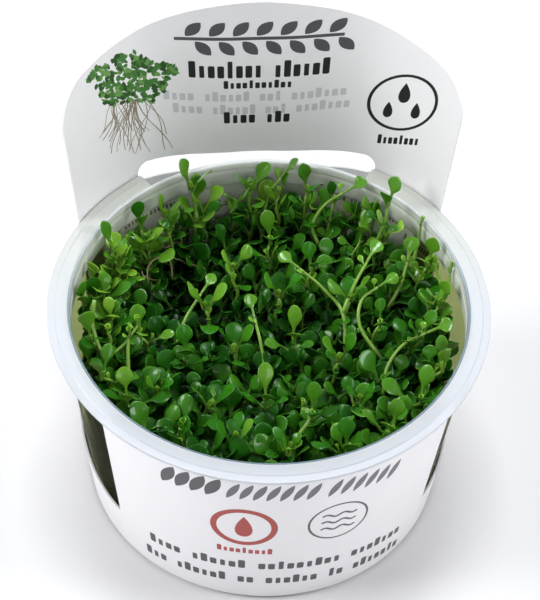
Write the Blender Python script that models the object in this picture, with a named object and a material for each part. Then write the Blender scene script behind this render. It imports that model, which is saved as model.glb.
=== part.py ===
"""A pot of glossostigma: spoon-leaved shoots in a clear cup with a printed card sleeve.

Metres, +Z up. The origin is the centre of the cup's floor, underneath. The front of
the sleeve faces -Y, and its display panel stands at +Y. The constants are in
millimetres and are turned to metres where a mesh is made.
"""

import math

import bmesh
import bpy
from mathutils import Vector
from mathutils.bvhtree import BVHTree
from mathutils.geometry import delaunay_2d_cdt

MM = 0.001
POT = "glossostigma_pot"  # the empty that every piece is parented to
GAP = 0.35  # air left between pieces that touch
TURN_SEGMENTS = 40

# Cup, turned about Z
CUP_HEIGHT = 59.0
WALL = 1.0
FOOT_RADIUS = 43.25  # outside, just above the rounded foot
FOOT_ROUNDING = 1.6
WALL_FLARE = 0.102  # gain in radius for each millimetre of height
COLLAR_BOTTOM = 51.5  # the snap collar for a lid stands in from the wall
COLLAR_RADIUS = 46.5
COLLAR_WALL = 1.1
FLANGE_RADIUS = 52.0
FLANGE_THICKNESS = 1.0
FLANGE_STEP_RADIUS = 50.3
FLANGE_STEP = 0.25

# Card sleeve
CARD = 0.45
CARD_BOTTOM = 0.9
CARD_FRONT_TOP = CUP_HEIGHT - FLANGE_THICKNESS - 0.5
WINDOW_FRONT = 53.7  # degrees from the front
WINDOW_TIP_HEIGHT = 15.0
PANEL_SIDE = 122.8  # degrees from the front
PANEL_TOP = 103.2
PANEL_CROWN = 155.0  # radius of the top edge on the flat card
PANEL_CORNER = 12.0
SLOT_HALF_ANGLE = 34.3
SLOT_HALF_HEIGHT = 2.7
SLOT_MIDDLE_HEIGHT = 57.0
SLOT_END_RISE = 2.1
CARD_COLUMN = 7.2  # degrees between the card's bends
CARD_SEAM = 96.0  # degrees from the front, in the low band
FLAT_RADIUS = 50.0  # radius at which a degree is drawn on the flat card

# Filling
GEL_TOP = 13.0
GEL_EDGE_RISE = 0.5
CARPET_RINGS = 8
CARPET_HEIGHT = 38.5

# Shoots
STEM_WIDTH = 1.1
BUD_HEIGHT = 1.6
BUD_WIDTH = 0.5
PETIOLE_WIDTH = 1.5
PETIOLE_DEPTH = 0.8
THREE_PAIRS_FROM = 11.0  # height above the carpet
LEAF_LENGTH = 10.0  # petiole and blade
BLADE_WIDTH = 5.6
BLADE_THICKNESS = 0.55
ARC_STEPS = 6
TOP_ANGLES = (16.0, 54.0)  # a leaf's lean from upright at its base and at its tip
LOWER_ANGLES = (30.0, 72.0)
LEAF_SPREADS = (1.0, 0.75, 0.5, 0.3, 0.1)
SHOOT_SCALES = (1.0, 0.88, 0.76, 0.64)  # tried in turn where shoots crowd
TURN_TRIES = 12
TRY_STEP = 15.0
WALL_CLEARANCE = 0.4

# Heads of the taller shoots: x, y, height and the bearing of the top pair of leaves
BACK_SHOOTS = (
    (-36.5, 22.5, 54.0, 120),
    (-29.5, 31.5, 52.0, 100),
    (-23.5, 36.0, 51.0, 60),
    (-16.5, 40.0, 56.0, 30),
    (-1.5, 42.0, 53.0, 150),
    (5.5, 41.5, 52.0, 40),
    (12.5, 40.5, 53.5, 70),
    (19.0, 38.0, 52.0, 160),
    (31.0, 28.5, 60.0, 50),
    (25.5, 30.5, 47.0, 60),
    (40.0, 15.5, 52.0, 70),
    (42.0, 4.5, 50.0, 30),
)
SIDE_SHOOTS = (
    (-41.0, 10.0, 49.0, 110),
    (-42.0, -2.0, 49.0, 100),
    (-30.5, 1.0, 46.5, 20),
    (-39.5, -11.5, 47.0, 60),
    (36.0, -4.5, 48.0, 45),
    (40.0, -14.0, 48.0, 80),
)
MIDDLE_SHOOTS = (
    (20.5, 9.0, 47.5, 165),
    (27.0, 1.0, 47.5, 40),
    (12.0, 19.0, 47.5, 120),
    (2.5, 28.5, 48.0, 80),
    (3.5, 11.5, 47.0, 10),
    (-7.0, 20.5, 47.5, 60),
    (-14.5, 8.5, 47.0, 25),
    (-20.0, -6.0, 46.0, 70),
    (-8.5, -4.5, 46.0, 150),
    (6.0, -2.0, 46.0, 80),
    (16.5, -8.0, 45.5, 20),
)
FRONT_SHOOTS = (
    (-34.0, -19.5, 46.5, 15),
    (-27.0, -16.0, 46.0, 130),
    (-22.5, -32.0, 46.5, 60),
    (-15.0, -21.5, 46.5, 165),
    (-10.0, -33.0, 47.0, 20),
    (-2.0, -20.5, 46.5, 100),
    (2.0, -36.0, 47.0, 150),
    (8.5, -25.0, 46.0, 40),
    (15.5, -36.5, 46.5, 75),
    (20.0, -20.5, 46.0, 170),
    (26.5, -30.5, 46.5, 110),
    (34.0, -22.5, 47.0, 30),
)


def clear_scene():
    for old in list(bpy.data.objects):
        bpy.data.objects.remove(old)


def material(name, colour, roughness, transmission=0.0):
    made = bpy.data.materials.new(name)
    made.use_nodes = True
    shader = made.node_tree.nodes["Principled BSDF"]
    shader.inputs["Base Color"].default_value = (*colour, 1.0)
    shader.inputs["Roughness"].default_value = roughness
    shader.inputs["Metallic"].default_value = 0.0
    shader.inputs["Transmission Weight"].default_value = transmission
    return made


def add_object(name, bm, finish, smooth_angle=None):
    """Turn a bmesh in millimetres into a named object in metres."""
    bmesh.ops.scale(bm, vec=(MM, MM, MM), verts=bm.verts)
    mesh = bpy.data.meshes.new(name)
    bm.to_mesh(mesh)
    bm.free()
    mesh.materials.append(finish)
    if smooth_angle:
        mesh.shade_smooth()
        mesh.set_sharp_from_angle(angle=math.radians(smooth_angle))
    made = bpy.data.objects.new(name, mesh)
    bpy.context.scene.collection.objects.link(made)
    made.parent = bpy.data.objects[POT]
    return made


def polar(radius, bearing, height):
    """A point at a bearing in degrees from the front, counted towards +X."""
    angle = math.radians(bearing)
    return Vector((radius * math.sin(angle), -radius * math.cos(angle), height))


def smoothstep(value, low, high):
    part = min(max((value - low) / (high - low), 0.0), 1.0)
    return part * part * (3.0 - 2.0 * part)


def turned(profile):
    """Turn a profile of (radius, height), listed up the outside and down the inside.

    It starts and ends on the axis, with a single vertex at each end.
    """
    bm = bmesh.new()
    start = bm.verts.new((0.0, 0.0, profile[0][1]))
    end = bm.verts.new((0.0, 0.0, profile[-1][1]))
    rings = []
    for radius, height in profile[1:-1]:
        steps = range(TURN_SEGMENTS)
        rings.append([bm.verts.new(polar(radius, 360 * s / TURN_SEGMENTS, height)) for s in steps])
    for s in range(TURN_SEGMENTS):
        n = (s + 1) % TURN_SEGMENTS
        bm.faces.new((start, rings[0][n], rings[0][s]))
        for lower, upper in zip(rings, rings[1:]):
            bm.faces.new((lower[s], lower[n], upper[n], upper[s]))
        bm.faces.new((end, rings[-1][s], rings[-1][n]))
    return bm


def outer_wall(height):
    return FOOT_RADIUS + WALL_FLARE * (height - FOOT_ROUNDING)


def inner_wall(height):
    """The space inside the cup, above its floor."""
    if height > COLLAR_BOTTOM - WALL:
        return COLLAR_RADIUS
    return outer_wall(height) - WALL


def make_cup(finish):
    shoulder = COLLAR_BOTTOM - 0.3
    top = CUP_HEIGHT
    under = top - FLANGE_THICKNESS
    groove = COLLAR_RADIUS + COLLAR_WALL
    profile = [
        (0.0, 0.0),
        (FOOT_RADIUS - 1.3, 0.0),
        (FOOT_RADIUS - 0.4, 0.5),
        (FOOT_RADIUS, FOOT_ROUNDING),
        (outer_wall(shoulder), shoulder),
        (groove, shoulder + 1.2),
        (groove, under - 0.2),
        (FLANGE_RADIUS, under),
        (FLANGE_RADIUS, top - FLANGE_STEP - 0.3),
        (FLANGE_RADIUS - 0.3, top - FLANGE_STEP),
        (FLANGE_STEP_RADIUS, top - FLANGE_STEP),
        (FLANGE_STEP_RADIUS - 0.3, top),
        (COLLAR_RADIUS + 0.7, top),
        (COLLAR_RADIUS, top - 0.9),
        (COLLAR_RADIUS, shoulder + 0.6),
        (outer_wall(shoulder) - WALL, shoulder - 0.8),
        (FOOT_RADIUS - WALL, FOOT_ROUNDING + 0.8),
        (FOOT_RADIUS - WALL - 1.0, WALL + 0.2),
        (0.0, WALL + 0.2),
    ]
    return add_object("cup", turned(profile), finish, 35)


def make_gel(finish):
    floor = WALL + 0.2 + GAP
    foot = FOOT_RADIUS - WALL - GAP
    edge = inner_wall(GEL_TOP) - GAP
    profile = [
        (0.0, floor),
        (foot - 1.1, floor),
        (foot - 0.1, FOOT_ROUNDING + 1.0),
        (edge, GEL_TOP + GEL_EDGE_RISE),
        (edge - 1.2, GEL_TOP),
        (0.0, GEL_TOP),
    ]
    return add_object("nutrient_gel", turned(profile), finish, 35)


def card_radius(bearing, height):
    """Radius of the card's inner face, round the wall and out past the flange."""
    plain = outer_wall(height) + GAP
    from_back = 180.0 - abs((bearing + 180.0) % 360.0 - 180.0)
    beside_slot = smoothstep(from_back, 6.0, SLOT_HALF_ANGLE - 2.5)
    past_flange = FLANGE_RADIUS + GAP - (outer_wall(CUP_HEIGHT - 2.0) + GAP)
    swing = beside_slot * past_flange * smoothstep(height, 32.0, CUP_HEIGHT - 3.0)
    spring = 1.2 * (1.0 - beside_slot) * smoothstep(height, CUP_HEIGHT + 1.0, PANEL_TOP)
    on_panel = 1.0 - smoothstep(from_back, 62.0, 80.0)
    return plain + (swing + spring) * on_panel


def flat(bearing):
    """Distance along the flat card of a bearing in degrees."""
    return math.radians(bearing) * FLAT_RADIUS


def arc_points(centre, radius, first, last, steps):
    points = []
    for s in range(steps + 1):
        angle = math.radians(first + (last - first) * s / steps)
        points.append((centre[0] + radius * math.cos(angle), centre[1] + radius * math.sin(angle)))
    return points


def bezier_points(a, b, c, d, steps):
    points = []
    for s in range(steps + 1):
        t = s / steps
        u = 1.0 - t
        weights = (u ** 3, 3 * u * u * t, 3 * u * t * t, t ** 3)
        points.append(tuple(sum(w * p[i] for w, p in zip(weights, (a, b, c, d))) for i in (0, 1)))
    return points


def window_edge():
    """Lower edge of a side window, from its sharp tip back to the panel's side."""
    return bezier_points(
        (flat(WINDOW_FRONT), WINDOW_TIP_HEIGHT),
        (flat(82.0), WINDOW_TIP_HEIGHT - 1.5),
        (flat(PANEL_SIDE - 2.0), 26.0),
        (flat(PANEL_SIDE), CUP_HEIGHT - 1.0),
        12,
    )


def panel_edge():
    """Half of the panel's rounded top, from its side to the middle of the back."""
    middle = flat(180.0)
    half = middle - flat(PANEL_SIDE)
    crown_centre = (middle, PANEL_TOP - PANEL_CROWN)
    corner_x = flat(PANEL_SIDE) + PANEL_CORNER
    reach = PANEL_CROWN - PANEL_CORNER
    corner_z = crown_centre[1] + math.sqrt(reach ** 2 - (half - PANEL_CORNER) ** 2)
    lean = math.degrees(math.asin((half - PANEL_CORNER) / reach))
    corner = arc_points((corner_x, corner_z), PANEL_CORNER, 180.0, 90.0 + lean, 5)
    crown = arc_points(crown_centre, PANEL_CROWN, 90.0 + lean, 90.0, 8)
    return corner + crown[1:]


def slot_outline():
    """The rounded slot that the flange comes out through, bowed up at its ends."""
    ends = SLOT_HALF_ANGLE - math.degrees(SLOT_HALF_HEIGHT / FLAT_RADIUS)
    middle = flat(180.0)

    def rise(bearing):
        return SLOT_MIDDLE_HEIGHT + SLOT_END_RISE * (bearing / SLOT_HALF_ANGLE) ** 2

    steps = [ends * s / 5 for s in range(-5, 6)]
    right = arc_points((middle + flat(ends), rise(ends)), SLOT_HALF_HEIGHT, -90, 90, 6)
    left = arc_points((middle - flat(ends), rise(ends)), SLOT_HALF_HEIGHT, 90, 270, 6)
    bottom = [(middle + flat(b), rise(b) - SLOT_HALF_HEIGHT) for b in steps[1:-1]]
    top = [(middle + flat(b), rise(b) + SLOT_HALF_HEIGHT) for b in reversed(steps[1:-1])]
    return bottom + right + top + left


def sleeve_outline():
    """Outline of the opened-out card, from the seam round past the back to the seam."""
    start = flat(CARD_SEAM)
    whole_turn = flat(360.0)
    front = whole_turn
    right_window = [p for p in window_edge() if p[0] > start + 1.0]
    left_window = [(front - x, z) for x, z in window_edge()]
    right_panel = panel_edge()
    left_panel = [(front - x, z) for x, z in reversed(right_panel[:-1])]
    seam_top = next(z for x, z in seam_window_points() if abs(x - start) < 1e-6)
    front_steps = [WINDOW_FRONT * s / 9 for s in range(-9, 10)]
    front_top = [(front + flat(bearing), CARD_FRONT_TOP) for bearing in front_steps]
    last_window = [(whole_turn + x, z) for x, z in window_edge() if x < start - 1.0]
    upper = [(start, seam_top)] + right_window + right_panel + left_panel
    upper += list(reversed(left_window)) + front_top + last_window
    upper.append((start + whole_turn, seam_top))
    columns = int(360.0 / CARD_COLUMN)
    lower = [(start + flat(CARD_COLUMN) * c, CARD_BOTTOM) for c in range(columns, -1, -1)]
    return upper + lower


def seam_window_points():
    """The window's lower edge at the seam, read off between its points."""
    start = flat(CARD_SEAM)
    edge = window_edge()
    for (x0, z0), (x1, z1) in zip(edge, edge[1:]):
        if x0 <= start <= x1:
            return [(start, z0 + (z1 - z0) * (start - x0) / (x1 - x0))]
    return []


def inside(point, outline):
    """Whether a point of the flat card lies in an outline."""
    x, y = point
    within = False
    for (x0, y0), (x1, y1) in zip(outline, outline[1:] + outline[:1]):
        if (y0 > y) != (y1 > y) and x < x0 + (x1 - x0) * (y - y0) / (y1 - y0):
            within = not within
    return within


def make_sleeve(finish):
    outline = sleeve_outline()
    slot = slot_outline()
    points = outline + slot
    edges = [(i, (i + 1) % len(outline)) for i in range(len(outline))]
    first = len(outline)
    edges += [(first + i, first + (i + 1) % len(slot)) for i in range(len(slot))]
    rows = (20.0, 40.0, 50.0, 56.5, 60.5, 80.0)
    for column in range(1, int(360.0 / CARD_COLUMN)):
        x = flat(CARD_SEAM + CARD_COLUMN * column)
        for row in rows:
            near = min(math.hypot(x - px, row - pz) for px, pz in outline + slot)
            if near > 1.5 and inside((x, row), outline) and not inside((x, row), slot):
                points.append((x, row))
    flat_points = [Vector(p) for p in points]
    spots, _, triangles, *_ = delaunay_2d_cdt(flat_points, edges, [], 0, 1e-5)
    kept = []
    for triangle in triangles:
        middle = sum((spots[i] for i in triangle), Vector((0.0, 0.0))) / 3.0
        if inside(middle, outline) and not inside(middle, slot):
            kept.append(triangle)
    bm = bmesh.new()
    sheets = [[], []]
    seam = {}
    for x, z in spots:
        bearing = math.degrees(x / FLAT_RADIUS)
        at_seam = min(abs(x - flat(CARD_SEAM)), abs(x - flat(CARD_SEAM + 360.0))) < 1e-3
        joined = seam.get(round(z, 3)) if at_seam else None
        if not joined:
            radius = card_radius(bearing, z)
            joined = [bm.verts.new(polar(radius + out, bearing, z)) for out in (0.0, CARD)]
        if at_seam:
            seam[round(z, 3)] = joined
        sheets[0].append(joined[0])
        sheets[1].append(joined[1])
    for triangle in kept:
        bm.faces.new([sheets[0][i] for i in reversed(triangle)])
        bm.faces.new([sheets[1][i] for i in triangle])
    outer_of = dict(zip(sheets[0], sheets[1]))
    for edge in [e for e in bm.edges if e.is_boundary and e.verts[0] in outer_of]:
        a, b = edge.link_loops[0].vert, edge.link_loops[0].link_loop_next.vert
        bm.faces.new((b, a, outer_of[a], outer_of[b]))
    bmesh.ops.recalc_face_normals(bm, faces=bm.faces)
    return add_object("card_sleeve", bm, finish, 35)


def carpet_height(x, y):
    """Top of the close leaves: high all round the wall, with two dark hollows."""
    height = CARPET_HEIGHT + 3.0 * smoothstep(math.hypot(x, y), 20.0, 43.0)
    height -= 8.0 * math.exp(-((x + 19.0) ** 2 + (y - 19.0) ** 2) / 110.0)
    height -= 3.0 * math.exp(-((x - 15.0) ** 2 + (y + 5.0) ** 2) / 60.0)
    return height + 1.1 * math.sin(x * 0.42 + 0.7) * math.cos(y * 0.37 + 0.3)


def make_carpet(finish):
    bm = bmesh.new()
    bottom = GEL_TOP + GEL_EDGE_RISE + GAP
    rings = []
    for ring in range(CARPET_RINGS + 1):
        count = TURN_SEGMENTS if ring == CARPET_RINGS else max(6 * ring, 1)
        verts = []
        for step in range(count):
            spot = polar(1.0, 360.0 * step / count, 0.0)
            radius = (inner_wall(CARPET_HEIGHT) - GAP) * ring / CARPET_RINGS
            height = carpet_height(spot.x * radius, spot.y * radius)
            if ring == CARPET_RINGS:
                radius = inner_wall(height) - GAP
            verts.append(bm.verts.new((spot.x * radius, spot.y * radius, height)))
        rings.append(verts)
    for inner, outer in zip(rings, rings[1:]):
        bridge_rings(bm, inner, outer)
    foot = []
    for step in range(TURN_SEGMENTS):
        foot.append(bm.verts.new(polar(inner_wall(bottom) - GAP, 360.0 * step / TURN_SEGMENTS, bottom)))
    for s in range(TURN_SEGMENTS):
        n = (s + 1) % TURN_SEGMENTS
        bm.faces.new((foot[s], foot[n], rings[-1][n], rings[-1][s]))
    bm.faces.new(list(reversed(foot)))
    bmesh.ops.triangulate(bm, faces=bm.faces)
    bmesh.ops.recalc_face_normals(bm, faces=bm.faces)
    return add_object("leaf_carpet", bm, finish, 60)


def bridge_rings(bm, inner, outer):
    """Join two rings that have different numbers of vertices, turn for turn."""
    if len(inner) == 1:
        for s, vert in enumerate(outer):
            bm.faces.new((inner[0], vert, outer[(s + 1) % len(outer)]))
        return
    i = 0
    o = 0
    while i < len(inner) or o < len(outer):
        a = inner[i % len(inner)]
        b = outer[o % len(outer)]
        if (o + 1) * len(inner) <= (i + 1) * len(outer) and o < len(outer):
            bm.faces.new((a, b, outer[(o + 1) % len(outer)]))
            o += 1
        else:
            bm.faces.new((a, b, inner[(i + 1) % len(inner)]))
            i += 1


def leaf_stations(scale):
    """Distance along a leaf, width and thickness, from the petiole to the tip."""
    return (
        (0.42 * LEAF_LENGTH * scale, PETIOLE_WIDTH, PETIOLE_DEPTH),
        (0.73 * LEAF_LENGTH * scale, BLADE_WIDTH * scale, BLADE_THICKNESS),
        (1.00 * LEAF_LENGTH * scale, BLADE_WIDTH * scale * 0.45, BLADE_THICKNESS),
    )


def leaf_sections(base, bearing, angles, scale, swell):
    """Four corners at each station along a leaf's arching midrib."""
    first, last = angles
    outward = Vector((math.cos(bearing), math.sin(bearing), 0.0))
    across = Vector((-math.sin(bearing), math.cos(bearing), 0.0))
    sections = []
    spot = base.copy()
    travelled = 0.0
    for distance, width, thickness in leaf_stations(scale):
        for step in range(ARC_STEPS):
            part = travelled + (distance - travelled) * (step + 0.5) / ARC_STEPS
            angle = math.radians(first + (last - first) * part / (LEAF_LENGTH * scale))
            along = outward * math.sin(angle) + Vector((0.0, 0.0, math.cos(angle)))
            spot = spot + along * (distance - travelled) / ARC_STEPS
        travelled = distance
        angle = math.radians(first + (last - first) * distance / (LEAF_LENGTH * scale))
        above = Vector((0.0, 0.0, math.sin(angle))) - outward * math.cos(angle)
        side = across * (width / 2.0 + swell)
        depth = above * (thickness / 2.0 + swell)
        sections.append([spot - side - depth, spot + side - depth, spot + side + depth, spot - side + depth])
    return sections


def inside_cup(point):
    """Whether a point is clear of the cup's wall, collar and rim."""
    limit = inner_wall(point.z) - WALL_CLEARANCE
    if point.z > CUP_HEIGHT + WALL_CLEARANCE:
        limit = FLANGE_RADIUS - 3.5
    return math.hypot(point.x, point.y) < limit


def leaf_angles(base, bearing, angles, scale):
    """Angles from upright at a leaf's two ends: beside the wall it grows more upright."""
    for spread in LEAF_SPREADS:
        tried = (angles[0] * spread, angles[1] * spread)
        sections = leaf_sections(base, bearing, tried, scale, GAP)
        if all(inside_cup(corner) for section in sections for corner in section):
            break
    return tried


def grow_leaf(bm, ring, base, bearing, angles, scale, swell):
    """Grow a leaf out of four vertices that bound one side of the stem."""
    bent = leaf_angles(base, bearing, angles, scale)
    for section in leaf_sections(base, bearing, bent, scale, swell):
        following = [bm.verts.new(corner) for corner in section]
        for j in range(4):
            k = (j + 1) % 4
            bm.faces.new((ring[j], ring[k], following[k], following[j]))
        ring = following
    bm.faces.new(ring)


def stem_point(foot, head, part):
    """The stem leaves the carpet upright and leans towards its head."""
    bend = foot + Vector((0.0, 0.0, 0.55 * (head.z - foot.z)))
    return foot * (1 - part) ** 2 + bend * 2 * part * (1 - part) + head * part ** 2


def grow_shoot(foot, head, turn, scale, swell=0.0):
    """One shoot: a square stem whose sides grow out into opposite pairs of leaves."""
    bm = bmesh.new()
    pairs = 3 if head.z - foot.z > THREE_PAIRS_FROM else 2
    half = STEM_WIDTH / 2.0 + swell

    def stem_ring(part, lift, size):
        centre = stem_point(foot, head, part) + Vector((0.0, 0.0, lift))
        ring = []
        for corner in range(4):
            angle = turn + math.radians(90.0 * corner - 45.0)
            corner_out = Vector((math.cos(angle), math.sin(angle), 0.0)) * size * math.sqrt(2.0)
            ring.append(bm.verts.new(centre + corner_out))
        return ring

    def stem_sides(lower, upper, sides):
        for side in sides:
            following = (side + 1) % 4
            bm.faces.new((lower[side], lower[following], upper[following], upper[side]))

    ring = stem_ring(0.0, 0.0, half)
    bm.faces.new(list(reversed(ring)))
    height = PETIOLE_DEPTH / 2.0 + swell
    for pair in range(pairs):
        part = (pair + 1.0) / pairs
        lower = stem_ring(part, -height, half)
        upper = stem_ring(part, height, half)
        stem_sides(ring, lower, range(4))
        quarter = (pairs - 1 - pair) % 2
        stem_sides(lower, upper, (1 - quarter, 3 - quarter))
        pair_scale = scale * (1.0 if pair == pairs - 1 else 0.92)
        angles = TOP_ANGLES if pair == pairs - 1 else LOWER_ANGLES
        for side in (quarter, quarter + 2):
            following = (side + 1) % 4
            corners = (lower[side], lower[following], upper[following], upper[side])
            bearing = turn + math.radians(90.0 * side)
            outward = Vector((math.cos(bearing), math.sin(bearing), 0.0))
            base = stem_point(foot, head, part) + outward * STEM_WIDTH / 2.0
            grow_leaf(bm, corners, base, bearing, angles, pair_scale, swell)
        ring = upper
    bud = stem_ring(1.0, BUD_HEIGHT + swell, BUD_WIDTH / 2.0 + swell)
    stem_sides(ring, bud, range(4))
    bm.faces.new(bud)
    bmesh.ops.triangulate(bm, faces=bm.faces)
    return bm


def stand_on(tree, head):
    """Where a shoot's stem comes out of the carpet, a little nearer the middle."""
    x = head.x * 0.93
    y = head.y * 0.93
    reach = STEM_WIDTH
    heights = []
    for dx in (-reach, 0.0, reach):
        for dy in (-reach, 0.0, reach):
            hit = tree.ray_cast(Vector((x + dx, y + dy, 200.0)), Vector((0.0, 0.0, -1.0)))[0]
            if hit:
                heights.append(hit.z)
    return Vector((x, y, max(heights) + GAP))


def place_shoots(carpet_tree):
    """Choose each shoot's turn and size so that it grows clear of the ones before it."""
    grown = [carpet_tree]
    placed = []
    for x, y, height, bearing in BACK_SHOOTS + SIDE_SHOOTS + MIDDLE_SHOOTS + FRONT_SHOOTS:
        head = Vector((x, y, height))
        foot = stand_on(carpet_tree, head)
        for attempt in range(TURN_TRIES * len(SHOOT_SCALES)):
            step = (attempt % TURN_TRIES + 1) // 2 * (1 if attempt % 2 else -1)
            turn = math.radians(bearing + TRY_STEP * step)
            scale = SHOOT_SCALES[attempt // TURN_TRIES]
            wide = grow_shoot(foot, head, turn, scale, GAP)
            tree = BVHTree.FromBMesh(wide)
            clear = all(inside_cup(vert.co) for vert in wide.verts)
            fits = clear and not any(tree.overlap(other) for other in grown)
            wide.free()
            if fits:
                break
        else:
            print("no room for the shoot at", x, y)
            continue
        shoot = grow_shoot(foot, head, turn, scale)
        grown.append(BVHTree.FromBMesh(shoot))
        placed.append(shoot)
    return placed


def main():
    clear_scene()
    bpy.context.scene.collection.objects.link(bpy.data.objects.new(POT, None))
    clear_plastic = material("clear_moulded_plastic", (0.90, 0.93, 0.93), 0.08, 0.9)
    coated_card = material("white_coated_card", (0.88, 0.88, 0.91), 0.45)
    jelly = material("nutrient_jelly", (0.80, 0.82, 0.66), 0.15, 0.8)
    deep_leaves = material("shaded_leaves", (0.03, 0.10, 0.02), 0.45)
    leaf = material("leaf", (0.09, 0.32, 0.04), 0.35)
    make_cup(clear_plastic)
    make_sleeve(coated_card)
    make_gel(jelly)
    carpet = make_carpet(deep_leaves)
    carpet_mesh = bmesh.new()
    carpet_mesh.from_mesh(carpet.data)
    bmesh.ops.scale(carpet_mesh, vec=(1 / MM, 1 / MM, 1 / MM), verts=carpet_mesh.verts)
    tree = BVHTree.FromBMesh(carpet_mesh)
    for number, shoot in enumerate(place_shoots(tree), 1):
        add_object(f"shoot_{number:02d}", shoot, leaf)


main()
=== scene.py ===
"""Glossostigma in a culture cup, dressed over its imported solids.

Sizes are in millimetres and bearings in degrees from the front, counted towards +X,
unless a comment says otherwise. Each mesh is turned to metres where it is made.
"""
import random
from math import asin, atan2, cos, degrees, exp, hypot, pi, radians, sin, sqrt

import bpy
import numpy as np
from mathutils import Matrix, Vector
from mathutils.geometry import delaunay_2d_cdt


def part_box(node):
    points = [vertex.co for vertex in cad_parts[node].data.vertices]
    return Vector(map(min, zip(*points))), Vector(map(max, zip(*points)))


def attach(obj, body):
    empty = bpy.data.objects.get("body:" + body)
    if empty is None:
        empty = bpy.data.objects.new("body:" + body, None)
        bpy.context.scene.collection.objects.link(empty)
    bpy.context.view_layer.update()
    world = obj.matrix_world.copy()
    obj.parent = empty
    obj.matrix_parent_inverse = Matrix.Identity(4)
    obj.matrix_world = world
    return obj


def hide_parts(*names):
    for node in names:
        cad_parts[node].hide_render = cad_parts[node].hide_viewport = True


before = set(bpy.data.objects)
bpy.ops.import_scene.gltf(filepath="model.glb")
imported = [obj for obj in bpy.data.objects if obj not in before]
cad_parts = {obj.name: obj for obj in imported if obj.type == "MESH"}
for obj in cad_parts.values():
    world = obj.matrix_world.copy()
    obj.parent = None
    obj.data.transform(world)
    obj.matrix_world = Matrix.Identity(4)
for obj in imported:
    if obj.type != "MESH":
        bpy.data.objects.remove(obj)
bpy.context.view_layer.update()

MM = 0.001
FLOOR_HALF = 4.0  # half the studio floor's width, in metres

# Where each run of random draws starts
JELLY_SEED = 41
MASS_SEED = 2024
CORNER_SEED = 5
SHOOT_SEED = 100
PRINT_SEED = 7

# The photograph's frame and the camera solved from the rim, the base and the panel
PHOTO_HEIGHT = 600
FOCAL_PIXELS = 1943.0
CAMERA_DISTANCE = 500.0
CAMERA_AZIMUTH = -6.0
CAMERA_ELEVATION = 48.9
CAMERA_ROLL = 2.55
CAMERA_ASIDE = 0.13
CAMERA_ABOVE = 39.14

# Cup
CUP_HEIGHT = 59.0
WALL = 1.0
FLOOR_TOP = WALL + 0.2
FOOT_RADIUS = 43.25
FOOT_ROUNDING = 1.6
HOLLOW_RADIUS = 35.0  # the low hollow under the floor
HOLLOW_DEPTH = 0.5
WALL_FLARE = 0.102
COLLAR_BOTTOM = 51.5
COLLAR_RADIUS = 46.5
COLLAR_WALL = 1.1
SHOULDER = COLLAR_BOTTOM - 0.3
LIP_WIDTH = 0.8
SNAP_BEAD = 0.35
FLANGE_RADIUS = 52.0
FLANGE_THICKNESS = 1.0
FLANGE_EDGE = 0.25
CUP_SEGMENTS = 180
WALL_RING = 2.4  # height between the rings of the wall's mesh
CLEAR_WALL, DRAWN_WALL, COLLAR, LIP, RIM, RIM_IN_SLOT = range(6)  # its finishes, in order

# Card sleeve
GAP = 0.35
CARD = 0.45
CARD_BOTTOM = 0.9
CARD_FRONT_TOP = CUP_HEIGHT - FLANGE_THICKNESS - 0.5
WINDOW_FRONT = 53.7
WINDOW_TIP_HEIGHT = 15.0
PANEL_SIDE = 122.8
PANEL_TOP = 103.2
PANEL_CROWN = 155.0
PANEL_CORNER = 12.0
SLOT_HALF_ANGLE = 34.3
SLOT_HALF_HEIGHT = 2.7
SLOT_MIDDLE_HEIGHT = 57.0
SLOT_END_RISE = 2.1
CARD_SEAM = 96.0
FLAT_RADIUS = 50.0
CARD_COLUMN = 1.8
CARD_ROW = 2.6
CLEAR_OF_EDGE = 0.8  # how far the mesh's inner points keep from the card's edges
MERGE = 1e-4  # points closer than this are one

# Filling
GEL_TOP = 13.0
GEL_EDGE_RISE = 0.5
GEL_SEGMENTS = 96
JELLY_ROOTS = 110
ROOT_STEP = 1.4
CARPET_HEIGHT = 38.5
CARPET_HOLLOWS = (  # dark hollows in the mass: x, y, spread and how much lower it is there
    (-19.0, 19.0, 110.0, -8.0),
    (6.0, 4.0, 130.0, -3.5),
)

# Shoots
STEM_WIDTH = 1.1
THREE_PAIRS_FROM = 11.0
LEAF_LENGTH = 10.0
BLADE_WIDTH = 5.6
BLADE_FULL_FROM = 0.74  # as a part of the leaf's length, and so is the start of its tip
TIP_FROM = 0.72
TOP_ANGLES = (16.0, 54.0)
LOWER_ANGLES = (30.0, 72.0)
LEAF_SPREADS = (1.0, 0.75, 0.5, 0.3, 0.1)
SHOOT_SCALES = (1.0, 0.88, 0.76, 0.64)
TURN_TRIES = 12
TRY_STEP = 15.0
WALL_CLEARANCE = 0.4
FOOT_PULL = 0.93  # a foot's distance from the cup's axis, as a part of its head's
ROOT_PULL = 0.96  # and a root's, as a part of its foot's

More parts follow.
